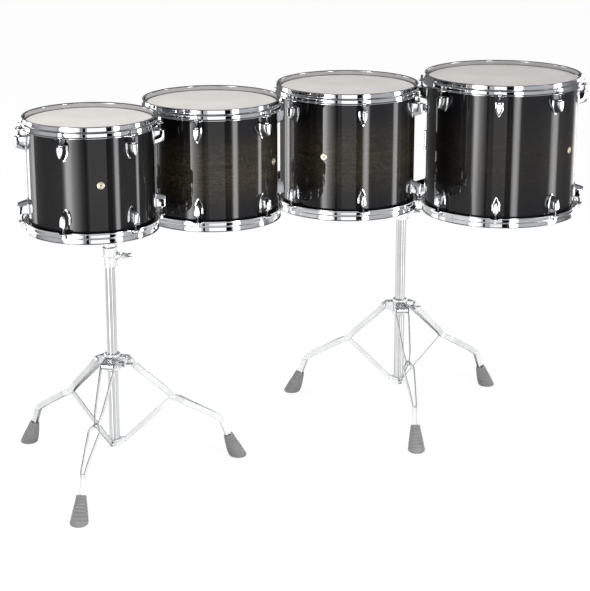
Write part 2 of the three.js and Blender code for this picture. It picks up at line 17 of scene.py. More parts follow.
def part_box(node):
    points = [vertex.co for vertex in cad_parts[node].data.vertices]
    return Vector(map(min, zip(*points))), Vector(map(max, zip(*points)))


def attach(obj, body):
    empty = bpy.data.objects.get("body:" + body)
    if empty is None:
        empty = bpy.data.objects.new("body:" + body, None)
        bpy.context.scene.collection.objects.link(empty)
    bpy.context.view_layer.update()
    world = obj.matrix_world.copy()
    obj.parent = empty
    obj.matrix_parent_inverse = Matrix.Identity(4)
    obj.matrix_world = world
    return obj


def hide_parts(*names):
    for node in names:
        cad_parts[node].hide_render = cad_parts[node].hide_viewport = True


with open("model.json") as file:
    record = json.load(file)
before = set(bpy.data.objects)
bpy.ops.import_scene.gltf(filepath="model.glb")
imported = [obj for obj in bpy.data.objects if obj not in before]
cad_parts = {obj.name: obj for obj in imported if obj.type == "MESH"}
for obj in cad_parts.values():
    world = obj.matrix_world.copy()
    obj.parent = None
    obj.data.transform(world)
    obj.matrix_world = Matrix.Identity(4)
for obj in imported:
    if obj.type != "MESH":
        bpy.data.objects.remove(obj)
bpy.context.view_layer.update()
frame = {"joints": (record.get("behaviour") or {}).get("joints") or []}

# %% [markdown]
# Where everything is
# The drums and stands could be typed in again as coordinates, but then they would drift
# from the frame. Their axes, heights and directions are read from the frame's joints and
# boxes instead, and only what the frame doesn't say is listed: how many lug casings a
# drum has, where the first one is, and where its air vent is (degrees about the drum).

# %% Find the stands
mm = 0.001
inch = 25.4 * mm
joints = {joint["name"]: joint for joint in frame["joints"]}


def box_centre(node):
    low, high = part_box(node)
    return (low + high) / 2


stands = {}
for stand_name in ("left", "right"):
    centre = box_centre(f"{stand_name}_post")
    across = joints[f"{stand_name}_arm_left_tilt"]["axis"]
    leg_axes = [joints[f"{stand_name}_leg_{i}_fold"]["axis"] for i in (1, 2, 3)]
    yaw = math.atan2(across[1], across[0])
    stands[stand_name] = {
        "axis": Vector((centre.x, centre.y, 0)),
        "yaw": yaw,
        "legs": [math.atan2(-axis[0], axis[1]) for axis in leg_axes],
    }
    print(stand_name, "stand turned by", round(math.degrees(yaw), 1), "degrees")

# %% [markdown]
# The four drums
# A drum is known by its diameter in inches. Its height, its place and the way towards its
# stand are measured in the frame, and the angles of its lugs follow from how many it has.

# %% Find the drums
toms = {
    "tom_12": {"radius": 6 * inch, "lugs": 6, "first_lug": -135.9, "vent": -104, "stand": "left"},
    "tom_13": {"radius": 6.5 * inch, "lugs": 6, "first_lug": -128.4, "vent": -49, "stand": "left"},
    "tom_14": {"radius": 7 * inch, "lugs": 6, "first_lug": -167.9, "vent": -140, "stand": "right"},
    "tom_16": {"radius": 8 * inch, "lugs": 8, "first_lug": -172.6, "vent": -62, "stand": "right"},
}
for name, tom in toms.items():
    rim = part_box(f"{name}_batter_hoop")[1]
    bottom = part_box(f"{name}_resonant_hoop")[0]
    centre = box_centre(f"{name}_batter_head")
    post = stands[tom["stand"]]["axis"]
    tom["centre"] = Vector((centre.x, centre.y, rim.z))
    tom["height"] = rim.z - bottom.z
    tom["facing"] = math.atan2(post.y - centre.y, post.x - centre.x)
    step = 2 * math.pi / tom["lugs"]
    tom["angles"] = [math.radians(tom["first_lug"]) + step * i for i in range(tom["lugs"])]
    print(name, "centre", [round(value, 3) for value in tom["centre"]], "height", round(tom["height"], 3))

# %% [markdown]
# The shapes that everything is made of
# Nearly every piece here is turned, bent from sheet, or cast. So a few small makers carry
# the whole model, and each gives a plain pair, its points and its faces. Objects could be
# moved and joined as well, but plain points can be turned, moved and added to others before
# they become one mesh, and they leave nothing behind in the scene. The first maker rounds
# the corners of an outline, because it is the small round on an edge that catches the light
# on real metal.

# %% Round a corner
most_of_a_side = 0.45


def fillet(corners, radius, steps=3, closed=True):
    """The outline with each corner rounded off by a short curve that starts a radius before it"""
    points = [Vector(corner) for corner in corners]
    outline = []
    for i, corner in enumerate(points):
        if not closed and i in (0, len(points) - 1):
            outline.append(corner)
            continue
        back = points[i - 1] - corner
        ahead = points[(i + 1) % len(points)] - corner
        reach = min(radius, most_of_a_side * back.length, most_of_a_side * ahead.length)
        start = corner + back.normalized() * reach
        end = corner + ahead.normalized() * reach
        for step in range(steps + 1):
            t = step / steps
            outline.append(start * (1 - t) ** 2 + corner * (2 * t * (1 - t)) + end * t ** 2)
    return outline


def round_cornered(half_length, half_width, radius, steps):
    """A rectangle about the origin, with rounded corners"""
    corners = [
        (-half_length, -half_width), (half_length, -half_width),
        (half_length, half_width), (-half_length, half_width),
    ]
    return fillet(corners, radius, steps)


print("points of a rounded square:", len(round_cornered(1, 1, 0.1, 3)))

# %% [markdown]
# A skin over rings
# Castings and bent strips change their section along the way. Their sections are drawn as
# rings with the same number of points, and faces are laid from each ring to the next. A
# plate is the shortest such row: one outline at two heights.

# %% Skin a row of rings
def skin(rings, ring_of_rings=False):
    """Rings of matching points, skinned one to the next. The row is closed at its ends or on itself"""
    count = len(rings[0])
    points = [Vector(point) for ring in rings for point in ring]
    faces = []
    last = len(rings) if ring_of_rings else len(rings) - 1
    for row in range(last):
        below, above = row * count, (row + 1) % len(rings) * count
        for i in range(count):
            j = (i + 1) % count
            faces.append((below + i, below + j, above + j, above + i))
    if not ring_of_rings:
        faces.append(tuple(reversed(range(count))))
        faces.append(tuple(range((len(rings) - 1) * count, len(rings) * count)))
    return points, faces


def plate(outline, thickness):
    """A flat outline in X and Y, given thickness about its own plane"""
    return skin([[(x, y, level) for x, y in outline] for level in (-thickness / 2, thickness / 2)])


print("faces of a square plate:", len(plate([(0, 0), (1, 0), (1, 1), (0, 1)], 0.1)[1]))

# %% [markdown]
# The lathe
# Drums, tubes, washers and knobs are all turned about an axis. Blender's Screw modifier
# turns profiles too, but its result is an object of its own and can't be joined with others
# before it becomes a mesh. So the profile's points are carried round here.

# %% Turn a profile
on_the_axis = 1e-9


def circle(sides):
    """The angles of a circle's corners"""
    return [2 * math.pi * i / sides for i in range(sides)]


def lathe(profile, sides):
    """A profile of (radius, height), turned about Z. It ends on the axis, or else it is a closed ring"""
    points, faces, starts = [], [], []
    turns = [(math.cos(angle), math.sin(angle)) for angle in circle(sides)]
    solid_core = profile[0][0] < on_the_axis
    for radius, height in profile:
        starts.append(len(points))
        if radius < on_the_axis:
            points.append(Vector((0, 0, height)))
        else:
            points += [Vector((radius * c, radius * s, height)) for c, s in turns]
    pairs = list(zip(range(len(profile) - 1), range(1, len(profile))))
    if not solid_core:
        pairs.append((len(profile) - 1, 0))
    for row, above in pairs:
        a, b = starts[row], starts[above]
        for i in range(sides):
            j = (i + 1) % sides
            if profile[row][0] < on_the_axis:
                faces.append((a, b + j, b + i))
            elif profile[above][0] < on_the_axis:
                faces.append((a + i, a + j, b))
            else:
                faces.append((a + i, a + j, b + j, b + i))
    return points, faces


print("faces of a turned ring:", len(lathe([(1, 0), (2, 0), (2, 1), (1, 1)], 12)[1]))

# %% [markdown]
# A swept rod
# A bent rod is a circle carried along a line. At each point the circle is set square to the
# line, and its first corner stays as near as it can to where it was, so that the sides of
# the rod don't twist. A curve with a bevel does the same, but here a mesh is needed.

# %% Sweep a rod
def sweep(path, radius, sides):
    """A round rod along a path of points"""
    path = [Vector(point) for point in path]
    rings = []
    side = None
    for i, point in enumerate(path):
        along = (path[min(i + 1, len(path) - 1)] - path[max(i - 1, 0)]).normalized()
        if side is None:
            side = along.orthogonal().normalized()
        side = (side - along * side.dot(along)).normalized()
        other = along.cross(side)
        rings.append([
            point + radius * (math.cos(angle) * side + math.sin(angle) * other) for angle in circle(sides)
        ])
    return skin(rings)


print("points of a short rod:", len(sweep([(0, 0, 0), (1, 0, 0)], 0.1, 8)[0]))

# %% [markdown]
# Moves
# A move is a matrix. A solid is mostly drawn at the origin, then turned, then shifted, so
# the moves are listed in the order in which they happen. Two quarter turns are needed so
# often that they have names: laid down along X, and across a leg, along Y.

# %% Move and join solids
def placed(solid, *moves):
    """The solid after each move in turn"""
    points, faces = solid
    whole = Matrix.Identity(4)
    for move in moves:
        whole = move @ whole
    return [whole @ point for point in points], faces


def joined(solids):
    points, faces = [], []
    for more_points, more_faces in solids:
        start = len(points)
        points += more_points
        faces += [tuple(start + i for i in face) for face in more_faces]
    return points, faces


def shift(x=0, y=0, z=0):
    return Matrix.Translation((x, y, z))


def turn(angle, axis="Z"):
    return Matrix.Rotation(angle, 4, axis)


lay_down = turn(math.pi / 2, "Y")
across_leg = turn(math.pi / 2, "X")
print("laid down, Z points along", [round(value) for value in lay_down @ Vector((0, 0, 1))])

# %% [markdown]
# From a solid to a piece
# A piece is a mesh with its finish, on the body that carries it. Its own origin is put on
# the drum's or the stand's axis, because the finishes use the piece's own coordinates: the
# wood grain then runs round each drum, and the brushing runs along each leg. Edges sharper
# than the given angle stay crisp, and all others are shaded smooth. Next to a small round,
# smooth shading would bend the reflections on a long wall too, so the normals are weighted
# by the size of the faces, which keeps tubes straight and strips flat. Where a piece has
# sharp edges that no profile rounds, a bevel breaks them.

# %% Maker of pieces
all_pieces = []


def add_piece(name, solid, finish, body, origin, nodes=(), sharp=32, bevel=0.0):
    points, faces = solid
    mesh = bpy.data.meshes.new(name)
    mesh.from_pydata(points, [], faces)
    work = bmesh.new()
    work.from_mesh(mesh)
    bmesh.ops.recalc_face_normals(work, faces=work.faces)
    work.to_mesh(mesh)
    work.free()
    mesh.shade_smooth()
    mesh.set_sharp_from_angle(angle=math.radians(sharp))
    for material in finish if isinstance(finish, list) else [finish]:
        mesh.materials.append(material)
    piece = bpy.data.objects.new(name, mesh)
    bpy.context.scene.collection.objects.link(piece)
    piece.matrix_world = origin
    if bevel:
        edge = piece.modifiers.new("edge_round", "BEVEL")
        edge.width = bevel
        edge.segments = 2
        edge.limit_method = "ANGLE"
        edge.angle_limit = math.radians(sharp)
        edge.harden_normals = True
    flat_walls = piece.modifiers.new("flat_walls", "WEIGHTED_NORMAL")
    flat_walls.keep_sharp = True
    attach(piece, body)
    if nodes:
        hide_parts(*nodes)
    all_pieces.append(piece)
    return piece


# %% [markdown]
# Finishes
# A finish is a node tree on the Principled shader. Whatever is the same all over is set on
# the shader's own socket, and whatever varies comes from noise in the piece's own
# coordinates, at the scale that the real surface has. These helpers add a node, set its
# inputs and link it, so that each finish below reads as a short list.

# %% Helpers for node trees
def add_node(tree, kind, inputs=None, **settings):
    made = tree.nodes.new(kind)
    for key, value in settings.items():
        setattr(made, key, value)
    for socket, value in (inputs or {}).items():
        if isinstance(value, bpy.types.NodeSocket):
            tree.links.new(value, made.inputs[socket])
        else:
            made.inputs[socket].default_value = value
    return made


def ramp(tree, factor, stops):
    """A colour ramp: stops are (position, colour), and a plain number is a grey"""
    made = add_node(tree, "ShaderNodeValToRGB", {"Fac": factor})
    for position, _ in stops[2:]:
        made.color_ramp.elements.new(position)
    for element, (position, colour) in zip(made.color_ramp.elements, stops):
        element.position = position
        element.color = (*colour, 1) if isinstance(colour, tuple) else (colour, colour, colour, 1)
    return made.outputs["Color"]


def blend_colours(tree, factor, first, second):
    made = add_node(tree, "ShaderNodeMix", data_type="RGBA")
    for index, value in ((0, factor), (6, first), (7, second)):
        if isinstance(value, bpy.types.NodeSocket):
            tree.links.new(value, made.inputs[index])
        else:
            made.inputs[index].default_value = (*value, 1)
    return made.outputs[2]


def new_finish(name, **sockets):
    material = bpy.data.materials.new(name)
    material.use_nodes = True
    shader = material.node_tree.nodes["Principled BSDF"]
    for socket, value in sockets.items():
        shader.inputs[socket.replace("_", " ")].default_value = value
    return material, material.node_tree, shader


# %% [markdown]
# Surfaces that vary
# Blender's noise keeps mostly between 0.3 and 0.7, so that range is stretched over whatever
# it drives. Its scale is given along X, Y and Z apart: a large number along one axis packs
# the noise close in that direction, which is how grain and brushing get their direction.

# %% Helpers for surfaces that vary
noise_low = 0.3
noise_high = 0.7


def noise(tree, scale, detail=3.0, roughness=0.5, distortion=0.0):
    """Noise in the piece's own coordinates"""
    coordinates = add_node(tree, "ShaderNodeTexCoord")
    stretched = add_node(
        tree, "ShaderNodeMapping", {"Vector": coordinates.outputs["Object"], "Scale": scale}
    )
    made = add_node(
        tree, "ShaderNodeTexNoise",
        {"Vector": stretched.outputs["Vector"], "Scale": 1.0, "Detail": detail,
         "Roughness": roughness, "Distortion": distortion},
    )
    return made.outputs["Fac"]


def spread(tree, factor, low, high):
    """Noise, mapped to run from low to high"""
    made = add_node(
        tree, "ShaderNodeMapRange",
        {"Value": factor, "From Min": noise_low, "From Max": noise_high, "To Min": low, "To Max": high},
    )
    return made.outputs["Result"]


def bump(tree, height, strength, distance):
    made = add_node(
        tree, "ShaderNodeBump", {"Height": height, "Strength": strength, "Distance": distance}
    )
    return made.outputs["Normal"]


print("noise is taken to run from", noise_low, "to", noise_high)

# %% [markdown]
# Lacquered shell
# The shells are stained wood under a thick gloss lacquer. The stain is sprayed as a burst:
# nearly black at both hoops, and thin enough in the middle for the olive brown wood to
# show. The veneer's grain runs round the drum, so its noise is stretched that way, and a
# second, rounder noise bends it into the swirls of figured wood. No two shells take the
# stain alike, so each drum has its own finish with its own share of wood showing. The
# lacquer is a coat layer, because it is the coat that mirrors the studio, while the wood
# under it stays dull.

# %% Lacquered shell finish
shell_edge_colour = (0.0009, 0.0008, 0.0018)
shell_wood_dark = (0.0065, 0.0050, 0.0029)
shell_wood_light = (0.036, 0.0275, 0.0132)
shell_figure_colour = (0.078, 0.062, 0.034)
wood_showing = {"tom_12": 0.08, "tom_13": 0.86, "tom_14": 0.68, "tom_16": 0.22}
grain_scale = (7.0, 7.0, 150.0)
swirl_scale = (16.0, 16.0, 48.0)
cloud_scale = (4.0, 4.0, 5.0)
burst_wander = 0.16
peel_scale = (60.0, 60.0, 60.0)
peel_depth = 0.6 * mm


def lacquer_finish(name, share):
    """The burst finish; share says how much of the wood shows in the middle"""
    material, tree, shader = new_finish(
        name, Roughness=0.5, Specular_IOR_Level=0.08,
        Coat_Weight=0.47, Coat_Roughness=0.015, Coat_IOR=1.5,
    )
    grain = noise(tree, grain_scale, detail=7.0, roughness=0.66, distortion=0.9)
    wood = ramp(tree, grain, [(0.36, shell_wood_dark), (0.66, shell_wood_light)])
    swirls = noise(tree, swirl_scale, distortion=3.2)
    figure = ramp(tree, swirls, [(0.465, 0.0), (0.5, 0.8), (0.535, 0.0)])
    figured = blend_colours(tree, figure, wood, shell_figure_colour)
    cloud = noise(tree, cloud_scale, detail=2.0)
    height = add_node(
        tree, "ShaderNodeSeparateXYZ",
        {"Vector": add_node(tree, "ShaderNodeTexCoord").outputs["Generated"]},
    ).outputs["Z"]
    wavering = add_node(
        tree, "ShaderNodeMath", {0: cloud, 1: burst_wander, 2: height}, operation="MULTIPLY_ADD"
    ).outputs["Value"]
    burst = ramp(tree, wavering, [(0.2, 0.0), (0.46, share), (0.66, share), (0.92, 0.0)])
    shaded = blend_colours(tree, burst, shell_edge_colour, figured)
    tree.links.new(shaded, shader.inputs["Base Color"])
    peel = noise(tree, peel_scale, detail=1.0)
    tree.links.new(bump(tree, peel, 0.03, peel_depth), shader.inputs["Coat Normal"])
    return material


lacquers = {name: lacquer_finish(f"{name}_lacquer", share) for name, share in wood_showing.items()}
print("finishes:", *(lacquer.name for lacquer in lacquers.values()))

# %% [markdown]
# Bare wood inside
# Inside, and on the bearing edges, the maple plies are only sealed. The grain is the same
# stretched noise, with a fine bump and hardly any gloss.

# %% Bare wood finish
maple_dark = (0.36, 0.23, 0.12)
maple_light = (0.62, 0.45, 0.27)
ply_scale = (6.0, 6.0, 180.0)
ply_depth = 0.4 * mm
bare_wood, tree, shader = new_finish("sealed_maple", Roughness=0.55)
plies = noise(tree, ply_scale, detail=5.0, roughness=0.6, distortion=0.3)
maple = ramp(tree, plies, [(noise_low, maple_dark), (noise_high, maple_light)])
tree.links.new(maple, shader.inputs["Base Color"])
tree.links.new(bump(tree, plies, 0.25, ply_depth), shader.inputs["Normal"])
print("finish:", bare_wood.name)

# %% [markdown]
# Drum head film
# The heads are white polyester film, a little warm, with a faint cloudiness and a fine
# tooth that spreads the light. The tooth is a bump of very small noise, and the clouds
# move both the colour and the roughness.

# %% Head finish
head_light = (0.80, 0.775, 0.745)
head_shade = (0.70, 0.665, 0.635)
film_cloud_scale = (9.0, 9.0, 9.0)
film_tooth_scale = (900.0, 900.0, 900.0)
film_tooth_depth = 0.2 * mm
head_film, tree, shader = new_finish("head_film", Specular_IOR_Level=0.15)
clouds = noise(tree, film_cloud_scale, detail=4.0, roughness=0.55)
tooth = noise(tree, film_tooth_scale, detail=2.0)
film_colour = ramp(tree, clouds, [(noise_low, head_shade), (noise_high, head_light)])
tree.links.new(film_colour, shader.inputs["Base Color"])
tree.links.new(spread(tree, clouds, 0.62, 0.75), shader.inputs["Roughness"])
tree.links.new(bump(tree, tooth, 0.18, film_tooth_depth), shader.inputs["Normal"])
print("finish:", head_film.name)

# %% [markdown]
# Chrome
# All the metal is chrome plated, but not alike: the hoops are rolled steel with the best
# mirror, the drums' castings are a little softer and wavier, the stands' castings are
# duller, and the stands' tubes and strips show faint lines along their length. One maker
# takes the colour, the range of roughness, the scale that stretches the fine marks the way
# the piece was polished, and how deep they are.

# %% Chrome finishes
haze_scale = (14.0, 14.0, 14.0)
haze_share = 0.86
mark_depth = 0.3 * mm
even_marks = (160.0, 160.0, 160.0)
fine_marks = (400.0, 400.0, 400.0)
marks_round_the_drum = (40.0, 40.0, 400.0)
marks_up_the_tube = (300.0, 300.0, 6.0)
marks_along_the_strip = (12.0, 300.0, 300.0)


def chrome_finish(name, colour, smooth, dull, stretch, strength):
    """Chrome whose roughness runs from smooth to dull, under a faint haze that darkens it in places"""
    material, tree, shader = new_finish(name, Metallic=1.0)
    marks = noise(tree, stretch, detail=4.0, roughness=0.6)
    haze = noise(tree, haze_scale, detail=2.0)
    darker = tuple(channel * haze_share for channel in colour)
    tree.links.new(ramp(tree, haze, [(0.3, darker), (0.65, colour)]), shader.inputs["Base Color"])
    tree.links.new(spread(tree, marks, smooth, dull), shader.inputs["Roughness"])
    tree.links.new(bump(tree, marks, strength, mark_depth), shader.inputs["Normal"])
    print("finish:", name)
    return material


hoop_chrome = chrome_finish("hoop_chrome", (0.66, 0.67, 0.68), 0.02, 0.06, marks_round_the_drum, 0.02)
cast_chrome = chrome_finish("cast_chrome", (0.68, 0.69, 0.70), 0.03, 0.09, even_marks, 0.06)
stand_chrome = chrome_finish("stand_chrome", (0.76, 0.77, 0.775), 0.28, 0.40, even_marks, 0.06)
tube_chrome = chrome_finish("tube_chrome", (0.59, 0.60, 0.605), 0.07, 0.14, marks_up_the_tube, 0.02)
strip_chrome = chrome_finish("strip_chrome", (0.68, 0.69, 0.69), 0.26, 0.36, marks_along_the_strip, 0.04)
steel = chrome_finish("bright_steel", (0.62, 0.62, 0.63), 0.12, 0.22, fine_marks, 0.06)

# %% [markdown]
# Rubber
# The feet are plain grey rubber: no gloss, a fine moulded grain, and slightly paler where
# it is rubbed.

# %% Rubber finish
rubber_dark = (0.30, 0.30, 0.305)
rubber_rubbed = (0.365, 0.365, 0.37)
mould_scale = (420.0, 420.0, 420.0)
mould_depth = 0.4 * mm
rub_scale = (35.0, 35.0, 35.0)
rubber, tree, shader = new_finish("grey_rubber", Specular_IOR_Level=0.3)
mould = noise(tree, mould_scale)
rub = noise(tree, rub_scale)
rubber_colour = ramp(tree, rub, [(noise_low, rubber_dark), (noise_high, rubber_rubbed)])
tree.links.new(rubber_colour, shader.inputs["Base Color"])
tree.links.new(spread(tree, mould, 0.7, 0.9), shader.inputs["Roughness"])
tree.links.new(bump(tree, mould, 0.35, mould_depth), shader.inputs["Normal"])
print("finish:", rubber.name)

# %% [markdown]
# Vent metal
# The round vent plates are warm brass under clear lacquer. A fine even noise moves the
# colour and the roughness a little, as on metal that was spun smooth.

# %% Brass finish
brass_dark = (0.50, 0.44, 0.31)
brass_light = (0.62, 0.58, 0.46)
spin_scale = (300.0, 300.0, 300.0)
brass, tree, shader = new_finish("vent_brass", Metallic=0.75)
spin = noise(tree, spin_scale, detail=2.0)
brass_colour = ramp(tree, spin, [(noise_low, brass_dark), (noise_high, brass_light)])
tree.links.new(brass_colour, shader.inputs["Base Color"])
tree.links.new(spread(tree, spin, 0.28, 0.4), shader.inputs["Roughness"])
print("finish:", brass.name)

# %% [markdown]
# Shells
# A shell is a ring of thin plies with a bevelled bearing edge at each end. It is turned on
# the lathe in one go: the outer wall, over the edge, down the inside. The faces that look
# inwards, and the edges, take the bare wood.

# %% Draw the shells
rim_above_edge = 13 * mm
shell_wall = 6.5 * mm
bearing_inset = 3 * mm
bearing_round = 1.2 * mm
shell_sides = 160


def at_drum(tom, angle=0.0):
    return Matrix.Translation(tom["centre"]) @ turn(angle)


def shell_solid(tom):
    radius = tom["radius"]
    top = -rim_above_edge
    bottom = rim_above_edge - tom["height"]
    fall = shell_wall - bearing_inset
    corners = [
        (radius, bottom + bearing_inset), (radius, top - bearing_inset),
        (radius - bearing_inset, top), (radius - shell_wall, top - fall),
        (radius - shell_wall, bottom + fall), (radius - bearing_inset, bottom),
    ]
    return lathe(fillet(corners, bearing_round), shell_sides)


print("shell faces:", len(shell_solid(toms["tom_12"])[1]))

# %% [markdown]
# The bore of the vent
# The vent's bore goes right through the wall, as it is drilled on the real shell. A Boolean
# modifier cuts it with a drill bit, and the result becomes the shell's mesh. The cut leaves
# one long face of the wall in pieces, which would shade as a flaw, so the wall is then
# given the normals of a true cylinder.

# %% Drill and shade the shells
vent_plate_radius = 9 * mm
vent_bore_radius = 1.75 * mm
drill_sides = 24
near_the_wall = 0.5 * mm
on_the_wall = 0.4 * mm
hardly_tilted = 0.1


def vent_place(tom):
    """From the vent's own axis, along Z from the shell's face, to the drum"""
    return turn(math.radians(tom["vent"])) @ shift(tom["radius"], 0, -tom["height"] / 2) @ lay_down


def drill(piece, tom):
    """Cuts the vent's bore through the shell's wall"""
    drill_bit = bpy.data.meshes.new("drill_bit")
    reach = 3 * shell_wall
    profile = [(0, -reach), (vent_bore_radius, -reach), (vent_bore_radius, reach), (0, reach)]
    points, faces = placed(lathe(profile, drill_sides), vent_place(tom))
    drill_bit.from_pydata(points, [], faces)
    bit = bpy.data.objects.new("drill_bit", drill_bit)
    bpy.context.scene.collection.objects.link(bit)
    bit.matrix_world = piece.matrix_world
    hole = piece.modifiers.new("vent_bore", "BOOLEAN")
    hole.operation = "DIFFERENCE"
    hole.object = bit
    cut = bpy.data.meshes.new_from_object(piece.evaluated_get(bpy.context.evaluated_depsgraph_get()))
    piece.modifiers.clear()
    piece.data = cut
    bpy.data.objects.remove(bit)


def round_wall(shell, tom):
    """Shades the wall as a true cylinder, also where the bore has cut one of its long faces"""
    mesh = shell.data
    normals = [corner.vector.copy() for corner in mesh.corner_normals]
    for face in mesh.polygons:
        is_wall = face.center.xy.length > tom["radius"] - near_the_wall
        face.material_index = 0 if is_wall else 1
        for loop in face.loop_indices:
            point = mesh.vertices[mesh.loops[loop].vertex_index].co
            is_outside = point.xy.length > tom["radius"] - on_the_wall
            if is_wall and is_outside and abs(face.normal.z) < hardly_tilted:
                normals[loop] = Vector((point.x, point.y, 0)).normalized()
    mesh.normals_split_custom_set(normals)


for name, tom in toms.items():
    shell = add_piece(
        f"{name}_lacquered_shell", shell_solid(tom), [lacquers[name], bare_wood], name,
        at_drum(tom), [f"{name}_shell"], sharp=50,
    )
    bpy.context.view_layer.update()
    drill(shell, tom)
    round_wall(shell, tom)
    print(shell.name, "faces", len(shell.data.polygons))

# %% [markdown]
# Vent plates
# The air vent is a round metal plate with a rolled rim and a small bore, pressed into the
# shell halfway down. It is left plain, with a shallow dished face between rim and bore.

# %% Press in the vent plates
vent_plate_sides = 48
vent_lip = 1.5 * mm
vent_lip_inside = 1.3 * mm
vent_dish = 1.0 * mm
vent_rim = 1.8 * mm
vent_edge = 1.2 * mm
vent_seat = -0.5 * mm
vent_sleeve_radius = 2.2 * mm
vent_sleeve_end = -shell_wall - 0.8 * mm
vent_round = 0.35 * mm
vent_profile = fillet([
    (vent_bore_radius, vent_lip_inside), (0.34 * vent_plate_radius, vent_lip),
    (0.42 * vent_plate_radius, vent_dish), (0.78 * vent_plate_radius, vent_dish),
    (0.86 * vent_plate_radius, vent_rim), (vent_plate_radius, vent_edge),
    (vent_plate_radius, vent_seat), (vent_sleeve_radius, vent_seat),
    (vent_sleeve_radius, vent_sleeve_end), (vent_bore_radius, vent_sleeve_end),
], vent_round)
for name, tom in toms.items():
    plate_solid = placed(lathe(vent_profile, vent_plate_sides), vent_place(tom))
    add_piece(f"{name}_vent_plate", plate_solid, brass, name, at_drum(tom))
print("vent plates:", len(toms))

# %% [markdown]
# Heads
# A head is one sheet of film, stretched flat over the bearing edge and turned down into an
# aluminium flesh ring that the hoop pulls on. It is turned as one closed solid. The film
# stands 0.3 mm clear of the wood, so that nothing flickers where they would touch.

# %% Stretch the heads
film_gap = 0.3 * mm
film_thickness = 0.5 * mm
film_round = 0.9 * mm
film_outside = 1.8 * mm
film_shoulder_out, film_shoulder_rise = 1.6 * mm, 0.2 * mm
ring_inner = 0.8 * mm
ring_outer = 7.0 * mm
collar_fall = 4.5 * mm
ring_height = 5 * mm
head_sides = 128
upside_down = Matrix.Scale(-1, 4, (0, 0, 1))


def head_solid(tom):
    radius = tom["radius"]
    under = film_gap - rim_above_edge
    top = under + film_thickness
    fold = radius - bearing_inset + ring_inner
    half_way = 0.55 * radius
    ring_top = under - collar_fall
    outline = fillet([
        (0, top), (half_way, top), (fold + film_thickness, top),
        (radius + film_shoulder_out, under - bearing_inset + film_shoulder_rise),
        (radius + film_outside, ring_top), (radius + ring_outer, ring_top),
        (radius + ring_outer, ring_top - ring_height), (radius + ring_inner, ring_top - ring_height),
        (radius + ring_inner, under - bearing_inset), (fold, under), (half_way, under), (0, under),
    ], film_round, closed=False)
    return lathe(outline, head_sides)


def mirrored_down(solid, tom):
    """The lower end of a drum is its upper end in a mirror at half its height"""
    return placed(solid, upside_down, shift(z=-tom["height"]))


for name, tom in toms.items():
    upper = head_solid(tom)
    for end, solid in (("batter", upper), ("resonant", mirrored_down(upper, tom))):
        head = add_piece(
            f"{name}_{end}_film", solid, [head_film, steel], name,
            at_drum(tom), [f"{name}_{end}_head"], sharp=40,
        )
        for face in head.data.polygons:
            face.material_index = 1 if face.center.xy.length > tom["radius"] + film_outside else 0
print("heads:", 2 * len(toms))

# %% [markdown]
# Hoops
# A hoop is one strip of sheet steel, rolled into three flanges: a lip that turns out at the
# rim, a step that presses on the flesh ring, and a skirt that flares at the bottom. At each
# tension rod the skirt is pressed out into an ear. So the hoop's section is not the same
# all the way round. It is drawn as a bent centre line with a thickness, and its last
# points reach further out near each rod. More sections are cut where an ear swells.

# %% Draw the hoop's section
hoop_sheet = 2.3 * mm
hoop_height = 28 * mm
hoop_bend = 2.4 * mm
lip_out, lip_fall = 7.6 * mm, 1.3 * mm
bend_out, bend_fall = 4.3 * mm, 1.6 * mm
step_out, step_fall = 4.15 * mm, 12.9 * mm
band_out, band_fall = 8.45 * mm, 15.3 * mm
band_foot_out, band_foot_rise = 8.6 * mm, 2.2 * mm
skirt_out = 11.4 * mm
ear_reach = 24 * mm
tip_share = 0.35


def bent_sheet(centre_line, thickness):
    """The closed outline of a sheet, drawn on both sides of its bent centre line"""
    sides = [[], []]
    for i, point in enumerate(centre_line):
        along = centre_line[min(i + 1, len(centre_line) - 1)] - centre_line[max(i - 1, 0)]
        across = Vector((-along.y, along.x)).normalized() * thickness / 2
        sides[0].append(point + across)
        sides[1].append(point - across)
    tips = []
    for end, inner in ((-1, -2), (0, 1)):
        outwards = (centre_line[end] - centre_line[inner]).normalized() * thickness * tip_share
        tips.append(centre_line[end] + outwards)
    return [*sides[0], tips[0], *reversed(sides[1]), tips[1]]


def hoop_section(radius, swell):
    """The hoop's outline as (radius, height). Swell is 0 between the ears and 1 at a rod"""
    reach = skirt_out + swell * (ear_reach - skirt_out)
    low = -hoop_height + hoop_sheet / 2
    line = fillet([
        (radius + lip_out, -lip_fall), (radius + bend_out, -bend_fall),
        (radius + step_out, -step_fall), (radius + band_out, -band_fall),
        (radius + band_foot_out, low + band_foot_rise), (radius + reach, low),
    ], hoop_bend, steps=5, closed=False)
    return bent_sheet(line, hoop_sheet)


print("points of a hoop's section:", len(hoop_section(6 * inch, 0)))

# %% [markdown]
# From section to hoop
# A section is drawn at each of many angles round the drum, and they are skinned into a
# ring. Evenly spaced angles would waste points on the plain stretches and show corners on
# the ears, so those near a rod are replaced by a closer row.

# %% Roll the hoops
hoop_sides = 120
ear_steps = 18
ear_flat = 7.5 * mm
ear_width = 17 * mm
rod_offset = 16 * mm


def off_the_nearest_rod(tom, angle):
    return min(abs(math.remainder(angle - rod, 2 * math.pi)) for rod in tom["angles"])


def hoop_turns(tom):
    """Angles round the hoop, closer together where an ear swells"""
    half = ear_width / (tom["radius"] + rod_offset)
    turns = [angle for angle in circle(hoop_sides) if off_the_nearest_rod(tom, angle) > half]
    for rod in tom["angles"]:
        turns += [rod + half * (2 * i / ear_steps - 1) for i in range(ear_steps + 1)]
    return sorted(angle % (2 * math.pi) for angle in turns)


def ear_swell(tom, angle):
    off = off_the_nearest_rod(tom, angle) * (tom["radius"] + rod_offset)
    share = min(max((ear_width - off) / (ear_width - ear_flat), 0), 1)
    return share * share * (3 - 2 * share)


